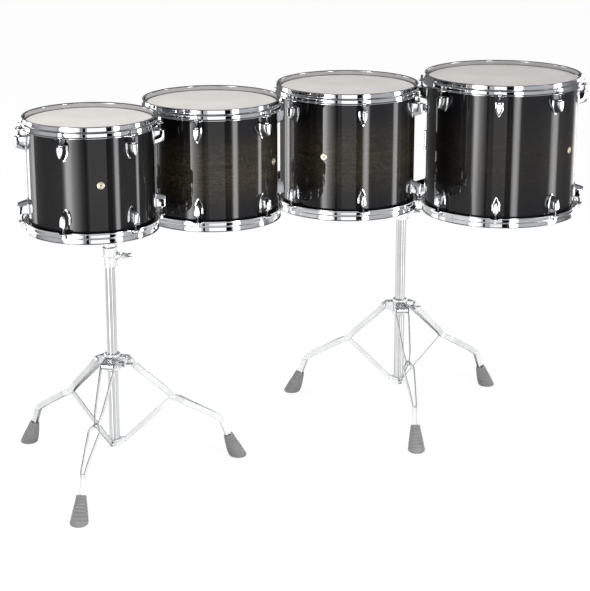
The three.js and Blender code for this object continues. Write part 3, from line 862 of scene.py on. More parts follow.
def hoop_solid(tom):
    rings = []
    for angle in hoop_turns(tom):
        c, s = math.cos(angle), math.sin(angle)
        section = hoop_section(tom["radius"], ear_swell(tom, angle))
        rings.append([(r * c, r * s, z) for r, z in section])
    return skin(rings, ring_of_rings=True)


for name, tom in toms.items():
    upper = hoop_solid(tom)
    for end, solid in (("batter", upper), ("resonant", mirrored_down(upper, tom))):
        hoop = add_piece(
            f"{name}_{end}_flanged_hoop", solid, hoop_chrome, name,
            at_drum(tom), [f"{name}_{end}_hoop"], sharp=60,
        )
    print(hoop.name, "points", len(hoop.data.vertices))

# %% [markdown]
# Tension rods
# Each rod is a long screw: a square head for the drum key, a round collar, a washer that
# sits on the ear, and a thread that runs down into the lug. The thread is a stack of small
# ridges on the lathe. A true helix would look the same at this size and cost far more.

# %% Draw a tension rod
ear_top = hoop_sheet - hoop_height
lug_drop = 44 * mm
rod_below_lug_top = 2 * mm
rod_radius = 2.9 * mm
rod_sides = 14
small_sides = 24
thread_pitch = 1.3 * mm
thread_depth = 0.35 * mm
washer_gap = 0.1 * mm
washer_radius = 6.6 * mm
washer_height = 1.6 * mm
collar_height = 3.2 * mm
collar_wide, collar_narrow = 5.4 * mm, 3.6 * mm
collar_edge = 1.2 * mm
near_the_axis = 0.5 * mm
washer_round, screw_round = 0.4 * mm, 0.5 * mm
key_head = 3.3 * mm
key_head_height = 8.5 * mm
key_head_sunk = 0.4 * mm
key_crown_fall, key_crown_inset = 0.8 * mm, 0.9 * mm


def threaded(radius, low, high):
    """Profile points up a thread, from low to high"""
    ridges = max(1, round((high - low) / thread_pitch))
    pitch = (high - low) / ridges
    profile = [(radius - thread_depth, low)]
    for i in range(ridges):
        profile.append((radius, low + pitch * (i + 0.5)))
        profile.append((radius - thread_depth, low + pitch * (i + 1)))
    return profile


def tension_rod():
    """A rod on its own axis, in the heights of the drum's upper end"""
    low = -lug_drop - rod_below_lug_top
    high = ear_top + washer_height
    screw = lathe([(0, low), *threaded(rod_radius, low, high), (0, high)], rod_sides)
    seat = ear_top + washer_gap
    shoulder = seat + washer_height
    washer = lathe(fillet([
        (rod_radius, seat), (washer_radius, seat), (washer_radius, shoulder), (rod_radius, shoulder),
    ], washer_round, steps=2), small_sides)
    top = shoulder + collar_height
    collar = lathe([(0, shoulder), *fillet([
        (near_the_axis, shoulder), (collar_wide, shoulder), (collar_wide, shoulder + collar_edge),
        (collar_narrow, top), (near_the_axis, top),
    ], screw_round, steps=2, closed=False), (0, top)], small_sides)
    key_low = top - key_head_sunk
    key_top = key_low + key_head_height
    corner = key_head * math.sqrt(2)
    key = lathe([
        (0, key_low), (corner, key_low), (corner, key_top - key_crown_fall),
        (corner - key_crown_inset, key_top), (0, key_top),
    ], 4)
    return joined([screw, washer, collar, placed(key, turn(math.pi / 4))])


print("points of a tension rod:", len(tension_rod()[0]))

# %% [markdown]
# A rod at every lug
# One rod is moved out to the circle that all the rods stand on, then repeated at each lug's
# angle. The rods of the lower end are the same ones in a mirror.

# %% Turn the tension rods
def round_the_drum(tom, solid):
    """The solid at each lug, at its own radius from the drum's axis"""
    return joined([placed(solid, turn(angle)) for angle in tom["angles"]])


for name, tom in toms.items():
    one = placed(tension_rod(), shift(tom["radius"] + rod_offset))
    upper = round_the_drum(tom, one)
    for end, solid in (("batter", upper), ("resonant", mirrored_down(upper, tom))):
        add_piece(
            f"{name}_{end}_tension_rods", solid, hoop_chrome, name,
            at_drum(tom), [f"{name}_{end}_hoop"], sharp=38,
        )
    print(name, "tension rods", 2 * tom["lugs"])

# %% [markdown]
# Lug casings
# A lug is a die casting bolted to the shell: a flat shield with a rounded point towards
# the middle of the drum, and a narrower body that stands out from it and slopes back to
# the point. It is skinned through shield outlines, from the shell to the nose, and the
# narrow ones near the shell leave a groove between shield and body. A swivel nut sits in
# its top end, where the rod goes in.

# %% Cast the lug casings
shield_shares = [
    (-0.5, 0.0), (-0.5, -0.34), (-0.4, -0.62), (-0.17, -0.9), (0.0, -1.0),
    (0.17, -0.9), (0.4, -0.62), (0.5, -0.34), (0.5, 0.0),
]
shield_round = 2.4 * mm
# Each outline in mm: out from the shell, width, height, and how far its flat top is lowered
lug_outlines = [
    (-1.2, 22.0, 42.0, 0.0), (1.0, 22.0, 42.0, 0.0), (2.2, 19.6, 40.0, 0.8), (2.4, 16.0, 35.6, 1.2),
    (3.4, 15.8, 35.4, 1.2), (3.8, 17.0, 36.4, 0.9), (14.0, 16.2, 33.2, 0.8), (23.0, 14.6, 30.2, 0.7),
    (25.6, 12.6, 28.4, 1.0), (26.8, 9.2, 25.4, 1.8), (27.0, 5.6, 21.0, 3.4),
]
nut_bore = rod_radius + 0.2 * mm
nut_wide, nut_narrow = 5.6 * mm, 5.0 * mm
nut_top, nut_edge, nut_low = 2.6 * mm, 0.6 * mm, -4 * mm


def shield(distance, width, height, drop):
    """A shield outline at a distance from the drum's axis, hanging down from its flat top"""
    outline = fillet([(a * width, b * height - drop) for a, b in shield_shares], shield_round)
    return [(distance, across, down) for across, down in outline]


def lug_casing(radius):
    rings = [
        shield(radius + out * mm, width * mm, height * mm, drop * mm)
        for out, width, height, drop in lug_outlines
    ]
    return placed(skin(rings), shift(z=-lug_drop))


def swivel_nut(radius):
    outline = fillet([
        (nut_bore, nut_top), (nut_narrow, nut_top), (nut_wide, nut_edge),
        (nut_wide, nut_low), (nut_bore, nut_low),
    ], screw_round, steps=2)
    return placed(lathe(outline, small_sides), shift(radius + rod_offset, 0, -lug_drop))


for name, tom in toms.items():
    for end in ("batter", "resonant"):
        casings = round_the_drum(tom, lug_casing(tom["radius"]))
        nuts = round_the_drum(tom, swivel_nut(tom["radius"]))
        if end == "resonant":
            casings, nuts = mirrored_down(casings, tom), mirrored_down(nuts, tom)
        add_piece(
            f"{name}_{end}_lug_casings", casings, cast_chrome, name,
            at_drum(tom), [f"{name}_shell"], sharp=40,
        )
        add_piece(f"{name}_{end}_swivel_nuts", nuts, steel, name, at_drum(tom))
    print(name, "lug casings", 2 * tom["lugs"])

# %% [markdown]
# Wing screws
# Wing screws hold everything that can be reset. A cast wing is not a flat plate: it grows
# out of a round hub, gets wider and thinner, and ends in a rounded tip. Each wing is
# skinned through ovals along that line. The screw lies along X, with its tip at zero.

# %% Cast the wing screws
wing_shaft_radius = 3.2 * mm
wing_reach = 26 * mm
wing_half_span = 19 * mm
wing_direction = (0.62, 0.78)
oval_sides = 16
# Each oval: its shares of the reach and of the half span, then its width and thickness in mm
wing_ovals = [
    (0.25, 0.10, 11.0, 5.6), (0.40, 0.34, 10.5, 5.2), (0.58, 0.60, 10.0, 4.6),
    (0.74, 0.82, 9.6, 4.4), (0.84, 0.95, 7.6, 4.0), (0.88, 1.0, 3.4, 2.4),
]
# The hub's rings in mm: radius, and distance past the end of the shaft
wing_hub_rings = [(4.6, -1.0), (7.6, 0.0), (8.0, 3.0), (6.2, 8.0), (5.6, 12.0)]
wing_hub_dome = 1.2 * mm


def oval(centre, along, width, thickness):
    """An oval ring about centre, square to along in the XY plane"""
    across = Vector((-along[1], along[0], 0)).normalized()
    up = Vector((0, 0, 1))
    ring = []
    for angle in circle(oval_sides):
        sideways = across * (math.cos(angle) * width / 2)
        ring.append(Vector(centre) + sideways + up * (math.sin(angle) * thickness / 2))
    return ring


def wing(shaft_length, way):
    rings = []
    for out_share, span_share, width, thickness in wing_ovals:
        centre = (shaft_length + out_share * wing_reach, way * span_share * wing_half_span, 0)
        along = (wing_direction[0], way * wing_direction[1])
        rings.append(oval(centre, along, width * mm, thickness * mm))
    return skin(rings)


def wing_screw(shaft_length):
    """A wing screw along X, its shaft starting at zero"""
    hub = [(radius * mm, shaft_length + along * mm) for radius, along in wing_hub_rings]
    hub_profile = [(0, hub[0][1]), *hub, (0, hub[-1][1] + wing_hub_dome)]
    screw_profile = [(0, 0), *threaded(wing_shaft_radius, 0, shaft_length), (0, shaft_length)]
    return joined([
        placed(lathe(screw_profile, 16), lay_down),
        placed(lathe(hub_profile, small_sides), lay_down),
        wing(shaft_length, -1), wing(shaft_length, 1),
    ])


print("wing screw points:", len(wing_screw(22 * mm)[0]))

# %% [markdown]
# Shell brackets
# Behind each drum, towards its stand, a bracket takes the arm's rod: a pressed plate with
# four hexagon bolts, and a cast boss with an upright bore and its own wing screw. A swept
# clamp could be carved from one block, but a plate, a boss and a split collar are how it
# is made, so they are joined here as three shapes.

# %% Turn a hexagon bolt
by_the_axis = 0.1 * mm
bolt_washer_radius = 6 * mm
bolt_washer_height = 1.2 * mm
bolt_head_low = 1.0 * mm
bolt_head_radius = 4.6 * mm
bolt_crown_radius = 4.0 * mm
bolt_crown_height = 0.6 * mm
bolt_height = 5.5 * mm


def hexagon_bolt():
    """A bolt head with its washer along X, seated at zero"""
    washer = lathe(fillet([
        (by_the_axis, 0), (bolt_washer_radius, 0),
        (bolt_washer_radius, bolt_washer_height), (by_the_axis, bolt_washer_height),
    ], washer_round, 2), small_sides)
    head = lathe([
        (0, bolt_head_low), (bolt_head_radius, bolt_head_low),
        (bolt_head_radius, bolt_height - bolt_crown_height),
        (bolt_crown_radius, bolt_height), (0, bolt_height),
    ], 6)
    return placed(joined([washer, head]), lay_down)


print("points of a hexagon bolt:", len(hexagon_bolt()[0]))

# %% [markdown]
# The bracket's parts
# The plate, the boss, the neck between them and the bolts become one piece with one finish.
# The wing screw is a piece of its own. On both drums of a stand it points to the back, so
# it is turned one way on the left drum and the other way on the right one.

# %% Make the shell brackets
bracket_drop = 180 * mm
bracket_height = 60 * mm
bracket_offset = 22 * mm
bracket_gap = 0.3 * mm
bracket_sheet = 3.6 * mm
bracket_sheet_out = 2.4 * mm
bracket_half_width, bracket_half_height = 20 * mm, 29.5 * mm
bracket_corner = 7 * mm
bracket_screw_shaft = 22 * mm
facet_share = math.cos(math.pi / 20)
arm_rod_radius = 5.25 * mm
arm_rod_clearance = 0.3 * mm
boss_radius = 11.5 * mm
boss_inset = 4 * mm
boss_band, boss_taper_end = 7 * mm, 9 * mm
boss_waist = 1.4 * mm
neck_root_half, neck_tip_half = 10 * mm, 8 * mm
neck_out, neck_inset = 2 * mm, 12 * mm
clear_of_the_bore = 1 * mm
seat_root_radius, seat_tip_radius = 7.2 * mm, 6.2 * mm
seat_reach = 15 * mm
boss_round, neck_round, seat_round = 0.9 * mm, 1.5 * mm, 0.8 * mm
bolt_out = 4.2 * mm
bolt_across, bolt_up = 14 * mm, 21 * mm


def bore_reach(tom):
    """How far the bracket's bore lies from the drum's axis"""
    return tom["radius"] * facet_share + bracket_offset


def bracket_solid(tom, way):
    """The bracket's casting and its wing screw; way says to which side the screw points"""
    face = tom["radius"] * facet_share + bracket_gap
    middle = -bracket_drop - bracket_height / 2
    outline = round_cornered(bracket_half_height, bracket_half_width, bracket_corner, 6)
    sheet = placed(plate(outline, bracket_sheet), lay_down, shift(face + bracket_sheet_out, 0, middle))
    axis = bore_reach(tom)
    low = middle - bracket_height / 2 + boss_inset
    high = middle + bracket_height / 2 - boss_inset
    bore = arm_rod_radius + arm_rod_clearance
    waist = boss_radius - boss_waist
    collar = lathe(fillet([
        (bore, low), (boss_radius, low), (boss_radius, low + boss_band), (waist, low + boss_taper_end),
        (waist, high - boss_taper_end), (boss_radius, high - boss_band), (boss_radius, high), (bore, high),
    ], boss_round), 40)
    collar = placed(collar, shift(axis))
    neck_length = axis - face - bore - clear_of_the_bore
    neck_outline = fillet([
        (0, -neck_root_half), (neck_length, -neck_tip_half),
        (neck_length, neck_tip_half), (0, neck_root_half),
    ], neck_round)
    neck = placed(plate(neck_outline, high - low - neck_inset), shift(face + neck_out, 0, middle))
    to_the_screw = turn(way * math.pi / 2)
    seat_start = bore + clear_of_the_bore
    seat = lathe(fillet([
        (by_the_axis, seat_start), (seat_root_radius, seat_start),
        (seat_tip_radius, seat_reach), (by_the_axis, seat_reach),
    ], seat_round), 28)
    seat = placed(seat, lay_down, to_the_screw, shift(axis, 0, middle))
    screw = placed(wing_screw(bracket_screw_shaft), to_the_screw, shift(axis, 0, middle))
    bolts = [
        placed(hexagon_bolt(), shift(face + bolt_out, side * bolt_across, middle + level * bolt_up))
        for side in (-1, 1) for level in (-1, 1)
    ]
    return joined([sheet, collar, neck, seat, *bolts]), screw


for name, tom in toms.items():
    stand = stands[tom["stand"]]
    along_the_arms = Vector((math.cos(stand["yaw"]), math.sin(stand["yaw"]), 0))
    is_left = (tom["centre"] - stand["axis"]).dot(along_the_arms) < 0
    tom["side"] = "left" if is_left else "right"
    casting, screw = bracket_solid(tom, 1 if is_left else -1)
    place = at_drum(tom, tom["facing"])
    nodes = [f"{name}_bracket"]
    add_piece(
        f"{name}_shell_bracket", casting, cast_chrome, name, place, nodes, 35, 0.4 * mm,
    )
    add_piece(f"{name}_bracket_wing_screw", screw, cast_chrome, name, place, nodes, 40)
    print(name, "bracket on the", tom["side"], "arm")

# %% [markdown]
# Sizes of the stands
# Both stands are alike, so their sizes are found once. Pivots come from the frame's
# joints, and tube ends and casting heights from its boxes. What a joint can't say, such as
# how a leg's strips bend, is named here.

# %% Measure the stands in the frame
def pivot_of(stand_name, joint_name):
    """A joint's place as (distance from the stand's axis, height)"""
    place = Vector(joints[f"{stand_name}_{joint_name}"]["pos_m"])
    return (place - stands[stand_name]["axis"]).xy.length, place.z


hub_pivot = pivot_of("left", "leg_1_fold")
collar_pivot = pivot_of("left", "strut_1_fold")
holder_height = pivot_of("left", "arm_left_tilt")[1]
clamp_low, clamp_high = (corner.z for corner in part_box("left_height_clamp"))
lock_low, lock_high = (corner.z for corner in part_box("left_stop_lock"))
tube_low, tube_high = (corner.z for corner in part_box("left_base_tube"))
post_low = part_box("left_post")[0].z
tube_radius = 14.3 * mm
post_radius = 12.5 * mm
tube_sides = 48
for name, stand in stands.items():
    for screw in ("hub", "height"):
        axis = joints[f"{name}_{screw}_screw_turn"]["axis"]
        stand[f"{screw}_wing"] = math.atan2(axis[1], axis[0])
print("hub pivot", [round(value, 4) for value in hub_pivot], "holder", round(holder_height, 4))


def at_stand(stand, angle):
    return Matrix.Translation(stand["axis"]) @ turn(angle)


# %% [markdown]
# Base tubes and bottom collars
# The base tube is drawn steel tube with turned-in ends. At its foot sits a pressed-on
# collar with three pairs of ears, one for each strut, and a rivet through each pair.

# %% Bars and rivets
bar_end_steps = 10
rivet_sides = 20
# A rivet's dome from its top, as shares of its radius and of its height
dome_shares = [(0.0, 1.0), (0.45, 0.9), (0.8, 0.6), (1.0, 0.12), (1.0, 0.0)]


def rounded_bar(length, width, thickness):
    """A flat bar from the origin along X with half-round ends, standing on edge"""
    outline = []
    for centre, start in ((0, math.pi / 2), (length, -math.pi / 2)):
        for step in range(bar_end_steps + 1):
            angle = start + math.pi * step / bar_end_steps
            outline.append((centre + width / 2 * math.cos(angle), width / 2 * math.sin(angle)))
    return placed(plate(outline, thickness), across_leg)


def rivet(half_length, shaft, head_radius, head_height):
    """A rivet along Y with a low domed head at each end"""
    lower = [(r * head_radius, -half_length - h * head_height) for r, h in dome_shares]
    upper = [(r * head_radius, half_length + h * head_height) for r, h in reversed(dome_shares)]
    profile = [*lower, (shaft, -half_length), (shaft, half_length), *upper]
    return placed(lathe(profile, rivet_sides), across_leg)


print("points of a bar:", len(rounded_bar(1, 0.1, 0.1)[0]))

# %% [markdown]
# The tube and its collar
# The tube alone gets the polished finish, with its marks up its length. The collar, its
# ears and their rivets are duller, and share a piece. The collar's band is drawn in a
# little between its two edges.

# %% Make the base tubes
collar_radius = 19 * mm
collar_band = 20 * mm
collar_waist = 0.8 * mm
collar_overlap = 1 * mm
tube_clearance = 0.4 * mm
tube_round, collar_round = 0.6 * mm, 0.8 * mm
ear_offset = 3.3 * mm
ear_sheet = 3 * mm
strut_ear_width = 13 * mm
pin_radius, pin_head_radius, pin_head_height = 2.5 * mm, 4.4 * mm, 1.6 * mm


def base_tube(stand):
    bore = post_radius + tube_clearance
    wall = lathe(fillet([
        (bore, tube_low), (tube_radius, tube_low), (tube_radius, tube_high), (bore, tube_high),
    ], tube_round, 2), tube_sides)
    top = tube_low + collar_band
    waist = collar_radius - collar_waist
    inside = tube_radius - collar_overlap
    collar = lathe(fillet([
        (inside, tube_low), (collar_radius, tube_low), (collar_radius, tube_low + 0.3 * collar_band),
        (waist, tube_low + 0.36 * collar_band), (waist, top - 0.36 * collar_band),
        (collar_radius, top - 0.3 * collar_band), (collar_radius, top), (inside, top),
    ], collar_round, 2), tube_sides)
    ears = []
    for angle in stand["legs"]:
        for side in (-1, 1):
            ear = rounded_bar(collar_pivot[0] - tube_radius, strut_ear_width, ear_sheet)
            ears.append(placed(ear, shift(tube_radius, side * ear_offset, collar_pivot[1]), turn(angle)))
        pin = rivet(ear_offset + ear_sheet / 2, pin_radius, pin_head_radius, pin_head_height)
        ears.append(placed(pin, shift(collar_pivot[0], 0, collar_pivot[1]), turn(angle)))
    return wall, joined([collar, *ears])


for name, stand in stands.items():
    tube, collar = base_tube(stand)
    place = at_stand(stand, 0)
    nodes = [f"{name}_base_tube"]
    add_piece(f"{name}_drawn_base_tube", tube, tube_chrome, "floor_frames", place, nodes)
    add_piece(
        f"{name}_bottom_collar", collar, stand_chrome, "floor_frames", place, nodes,
        35, 0.3 * mm,
    )
    print(name, "base tube", round((tube_high - tube_low) / mm), "mm long")

# %% [markdown]
# Leg hubs
# The hub slides on the base tube. It is a casting: a sleeve with a waist, three yokes that
# the legs turn on, and a boss with a screw. Each yoke has two cheeks, a web between them
# and a round knuckle across its end. It could be one solid block, but the hollow between
# the cheeks is what makes it read as a casting.

# %% Cast the leg hubs
hub_sleeve_radius = 22 * mm
hub_half_height = 23 * mm
hub_clearance = 0.4 * mm
hub_rim_inset, hub_rim_height = 1.5 * mm, 3 * mm
hub_band, hub_taper_end = 8 * mm, 11 * mm
hub_waist = 2 * mm
cheek_sheet = 4.4 * mm
cheek_root_half, cheek_half, cheek_tip_half = 15 * mm, 8.6 * mm, 5 * mm
cheek_short, cheek_over = 2 * mm, 6 * mm
web_sheet = 7 * mm
web_inset = 1 * mm
knuckle_half = 16 * mm
knuckle_radius = 8.8 * mm
hub_boss_radius = 8 * mm
boss_length = 30 * mm
screw_clearance = 0.2 * mm
screw_boss_dimple = 0.3 * mm
cheek_round, web_round, knuckle_round = 5 * mm, 1 * mm, 0.8 * mm
sleeve_round, screw_boss_round = 1.2 * mm, 0.7 * mm
casting_sides = 56
# How far behind the boss's end its groove starts, is deepest and ends
groove_start, groove_floor, groove_end = 5 * mm, 4.2 * mm, 3.4 * mm


def screw_boss(radius, start, end):
    """A round boss along X with a shallow groove behind its rim"""
    return placed(lathe([(0, start), *fillet([
        (radius * 1.12, start), (radius * 1.06, end - groove_start), (radius * 0.92, end - groove_floor),
        (radius, end - groove_end), (radius, end), (wing_shaft_radius + screw_clearance, end),
    ], screw_boss_round, 2, closed=False), (0, end - screw_boss_dimple)], 28), lay_down)


def leg_yoke(angle):
    """Two cheeks, the web between them and the knuckle that one leg turns on"""
    reach, height = hub_pivot
    radius = hub_sleeve_radius
    cheek = fillet([
        (0.62 * radius, -cheek_root_half), (reach - cheek_short, -cheek_half),
        (reach + cheek_over, -cheek_tip_half), (reach + cheek_over, cheek_tip_half),
        (reach - cheek_short, cheek_half), (0.62 * radius, cheek_root_half),
    ], cheek_round)
    parts = []
    for side in (-1, 1):
        out = side * (knuckle_half - cheek_sheet / 2)
        wall = placed(plate(cheek, cheek_sheet), across_leg, shift(0, out, height))
        parts.append(placed(wall, turn(angle)))
    web_half = knuckle_half - web_inset
    web = fillet([
        (0.7 * radius, -web_half), (reach, -web_half), (reach, web_half), (0.7 * radius, web_half),
    ], web_round, 2)
    parts.append(placed(plate(web, web_sheet), shift(z=height), turn(angle)))
    knuckle = lathe([(0, -knuckle_half), *fillet([
        (knuckle_radius, -knuckle_half), (knuckle_radius, knuckle_half),
    ], knuckle_round, 2, closed=False), (0, knuckle_half)], 32)
    parts.append(placed(knuckle, across_leg, shift(reach, 0, height), turn(angle)))
    return joined(parts)


def leg_hub(stand):
    height = hub_pivot[1]
    low, high = height - hub_half_height, height + hub_half_height
    radius = hub_sleeve_radius
    bore = tube_radius + hub_clearance
    rim, waist = radius - hub_rim_inset, radius - hub_waist
    sleeve = lathe(fillet([
        (bore, low), (rim, low), (radius, low + hub_rim_height), (radius, low + hub_band),
        (waist, low + hub_taper_end), (waist, high - hub_taper_end),
        (radius, high - hub_band), (radius, high - hub_rim_height), (rim, high), (bore, high),
    ], sleeve_round), casting_sides)
    yokes = [leg_yoke(angle) for angle in stand["legs"]]
    boss = screw_boss(hub_boss_radius, 0.8 * radius, boss_length)
    return joined([sleeve, *yokes, placed(boss, turn(stand["hub_wing"]), shift(z=height))])


for name, stand in stands.items():
    place = at_stand(stand, 0)
    add_piece(
        f"{name}_hub_casting", leg_hub(stand), stand_chrome, f"{name}_leg_hub",
        place, [f"{name}_leg_hub"], 35, 0.5 * mm,
    )
    print(name, "hub cast")

# %% [markdown]
# The stands' wing screws
# The hub and the height clamp are each locked by a wing screw of the same casting as the
# one on the drum's bracket. Each is placed along its own joint's axis, so that it turns
# about its own shaft.

# %% Fit the stands' wing screws
stand_screw_shaft = 13 * mm
clamp_radius = 21 * mm
for name, stand in stands.items():
    for screw, start, height in (
        ("hub", hub_sleeve_radius, hub_pivot[1]),
        ("height", clamp_radius, (clamp_low + clamp_high) / 2),
    ):
        place = at_stand(stand, stand[f"{screw}_wing"]) @ shift(z=height)
        screw_solid = placed(wing_screw(stand_screw_shaft), shift(start))
        node = f"{name}_{screw}_wing_screw"
        add_piece(
            f"{name}_{screw}_cast_wing", screw_solid, stand_chrome, node, place, [node],
            40,
        )
    print(name, "wing screws fitted")

# %% [markdown]
# Legs
# Each leg is two flat steel strips on edge. They start wide apart on the hub's knuckle, are
# drawn together at the strut's rivet, open again, and close to meet the boot. Each strip is
# a rounded rectangle swept along that line, and a domed rivet closes each crossing.

# %% Bend the legs
strip_height = 16 * mm
strip_sheet = 3 * mm
strip_round = 1.2 * mm
strip_bend = 7 * mm
strut_sheet = 3 * mm
strut_play = 0.6 * mm
spread_at_hub = 18 * mm
spread_past_middle = 15 * mm
spread_at_knee = 5 * mm
middle_pivot = (163 * mm, 196 * mm)
knee = (300 * mm, 114 * mm)
leg_end = (330 * mm, 34 * mm)
round_end_shares = (0.02, 0.12, 0.35, 0.65)
rivet_shaft, rivet_dome = 3 * mm, 2 * mm
hub_rivet_head, middle_rivet_head, knee_rivet_head = 6 * mm, 5.5 * mm, 5 * mm


def between(start, end, share):
    return start + (end - start) * share


def leg_line():
    """The leg's bends as (distance from the axis, height, half the space between its strips)"""
    pinch = strut_sheet / 2 + strut_play + strip_sheet / 2
    line = [(*hub_pivot, spread_at_hub)]
    for share, rise in ((0.1, -1), (0.84, 1)):
        line.append((
            between(hub_pivot[0], middle_pivot[0], share),
            between(hub_pivot[1], middle_pivot[1], share) + rise * strip_sheet,
            between(spread_at_hub, pinch, share ** 3),
        ))
    line.append((*middle_pivot, pinch))
    for share, closed in ((0.17, 0), (0.8, 0.8)):
        line.append((
            between(middle_pivot[0], knee[0], share),
            between(middle_pivot[1], knee[1], share) + strip_sheet,
            between(spread_past_middle, spread_at_knee, closed),
        ))
    return [*line, (*knee, spread_at_knee), (*leg_end, spread_at_knee)]


def leg_strip(side):
    """One strip of a leg, with a round upper end, swept along the leg's line"""
    line = [Vector((radius, side * spread, height)) for radius, height, spread in leg_line()]
    half = strip_height / 2
    back = (line[0] - line[1]).normalized() * half
    path = [line[0] + back * (1 - t) for t in round_end_shares]
    heights = [half * math.sqrt(1 - (1 - t) ** 2) for t in round_end_shares]
    bends = fillet(line, strip_bend, 4, closed=False)
    path += bends
    heights += [half] * len(bends)
    rings = []
    for i, point in enumerate(path):
        along = path[min(i + 1, len(path) - 1)] - path[max(i - 1, 0)]
        up = Vector((-along.z, 0, along.x)).normalized()
        section = round_cornered(heights[i], strip_sheet / 2, strip_round, 3)
        rings.append([point + up * a + Vector((0, b, 0)) for a, b in section])
    return skin(rings)


def leg_rivets():
    pinch = leg_line()[3][2]
    places = [
        (hub_pivot, spread_at_hub, hub_rivet_head),
        (middle_pivot, pinch, middle_rivet_head),
        (knee, spread_at_knee, knee_rivet_head),
    ]
    return joined([
        placed(rivet(spread + strip_sheet / 2, rivet_shaft, head, rivet_dome), shift(at[0], 0, at[1]))
        for at, spread, head in places
    ])


for name, stand in stands.items():
    for i, angle in enumerate(stand["legs"], 1):
        body = f"{name}_leg_{i}"
        strips = joined([leg_strip(-1), leg_strip(1)])
        place = at_stand(stand, angle)
        add_piece(f"{body}_strips", strips, strip_chrome, body, place, [body], 40)
        add_piece(f"{body}_rivets", leg_rivets(), stand_chrome, body, place, [body], 40)
    print(name, "legs bent")

# %% [markdown]
# Struts
# A strut is one flat bar with round ends, from the bottom collar up to the leg's middle
# rivet. Its edges are broken by a small round, as on rolled flat stock.

# %% Cut the struts
strut_width = 14 * mm
strut_rise = middle_pivot[1] - collar_pivot[1]
strut_run = middle_pivot[0] - collar_pivot[0]
for name, stand in stands.items():
    for i, angle in enumerate(stand["legs"], 1):
        bar = rounded_bar(math.hypot(strut_rise, strut_run), strut_width, strut_sheet)
        leaning = turn(-math.atan2(strut_rise, strut_run), "Y")
        bar = placed(bar, leaning, shift(collar_pivot[0], 0, collar_pivot[1]))
        body = f"{name}_strut_{i}"
        place = at_stand(stand, angle)
        add_piece(f"{body}_bar", bar, strip_chrome, body, place, [body], 40, 0.7 * mm)
print("struts", round(math.hypot(strut_rise, strut_run) / mm), "mm between pivots")

# %% [markdown]
# Rubber boots
# A boot is a moulded rubber cone that leans with the end of its leg. Its flat base has a
# rounded edge, and seven grooves run round its side. Each ring is tilted a little more than
# the one below, so that the base lies on the floor and the mouth is square to the leg.

# %% Mould the boots
boot_height = 67.4 * mm
boot_base_radius = 24 * mm
boot_mouth_radius = 12.6 * mm
groove_count = 7
groove_step = 7.6 * mm
groove_depth = 1.6 * mm
first_groove = 10.5 * mm
boot_lean = (leg_end[0] - knee[0]) / (knee[1] - leg_end[1])
boot_square_from = 30 * mm
boot_flare_from = 50 * mm
boot_flare = 5 * mm
boot_sides = 40
# The rounded edge of the base: height in mm, and share of the base's radius
boot_edge = [(0.0, 0.68), (0.6, 0.82), (2.2, 0.93), (5.0, 0.985)]
# One groove: shares of the step up and of the depth
groove_shares = [(0.04, 0), (0.16, 0.9), (0.32, 1), (0.45, 0.1), (0.74, 0)]
# The mouth, in mm: below the boot's top, and inside its lip
boot_mouth = [(1.0, 0.0), (0.0, 1.2), (0.2, 3.0), (3.4, 3.4)]


def boot_radius(height):
    return between(boot_base_radius, boot_mouth_radius, (height / boot_height) ** 1.25)


def boot_profile():
    """The boot's side as (height, radius), from the middle of its base to the inside of its mouth"""
    profile = [(level * mm, share * boot_base_radius) for level, share in boot_edge]
    for groove in range(groove_count):
        low = first_groove + groove * groove_step
        for rise, depth in groove_shares:
            height = low + rise * groove_step
            profile.append((height, boot_radius(height) - depth * groove_depth))
    for fall, inset in boot_mouth:
        profile.append((boot_height - fall * mm, boot_mouth_radius - inset * mm))
    return profile


def boot_solid():
    rings = []
    for height, radius in boot_profile():
        tilt = math.atan(boot_lean) * min(height / boot_square_from, 1)
        flare = boot_flare * max(1 - height / boot_flare_from, 0) ** 2
        centre = Vector((knee[0] + (knee[1] - height) * boot_lean + flare, 0, height))
        outwards = Vector((math.cos(tilt), 0, math.sin(tilt))) * radius
        sideways = Vector((0, radius, 0))
        rings.append([
            centre + math.cos(angle) * outwards + math.sin(angle) * sideways for angle in circle(boot_sides)
        ])
    return skin(rings)


for name, stand in stands.items():
    for i, angle in enumerate(stand["legs"], 1):
        add_piece(
            f"{name}_foot_{i}_boot", boot_solid(), rubber, f"{name}_leg_{i}",
            at_stand(stand, angle), [f"{name}_foot_{i}"], 50,
        )
print("boots moulded:", sum(len(stand["legs"]) for stand in stands.values()))

# %% [markdown]
# Height clamps and stop locks
# The clamp is pressed on the top of the base tube and grips the post. It has a plain lower
# sleeve, a wider band above it, a round lobe that the wing screw runs through, and a short
# tongue under the lobe. The stop lock is a ring above it, with a square-headed key bolt.

# %% Cast the height clamps
slide_clearance = 0.35 * mm
clamp_seat = tube_radius + 0.3 * mm
clamp_sleeve_inset = 2.6 * mm
clamp_taper_half = 2 * mm
clamp_rim_inset, clamp_rim_fall = 2 * mm, 2.4 * mm
above_the_tube = 0.4 * mm
lobe_start, lobe_end = 8 * mm, 28 * mm
lobe_radius, lobe_band_end = 12 * mm, 22 * mm
lobe_shoulder = (10.4 * mm, 24 * mm)
lobe_neck = (8.6 * mm, 24.5 * mm)
lobe_end_radius = 8.2 * mm
lobe_dimple = 0.4 * mm
tongue_half, tongue_tip_half = 7 * mm, 6 * mm
tongue_sheet = 5 * mm
tongue_out = 19.5 * mm
tongue_short = 1 * mm
clamp_round, lobe_round, tongue_round = 1 * mm, 0.9 * mm, 3 * mm


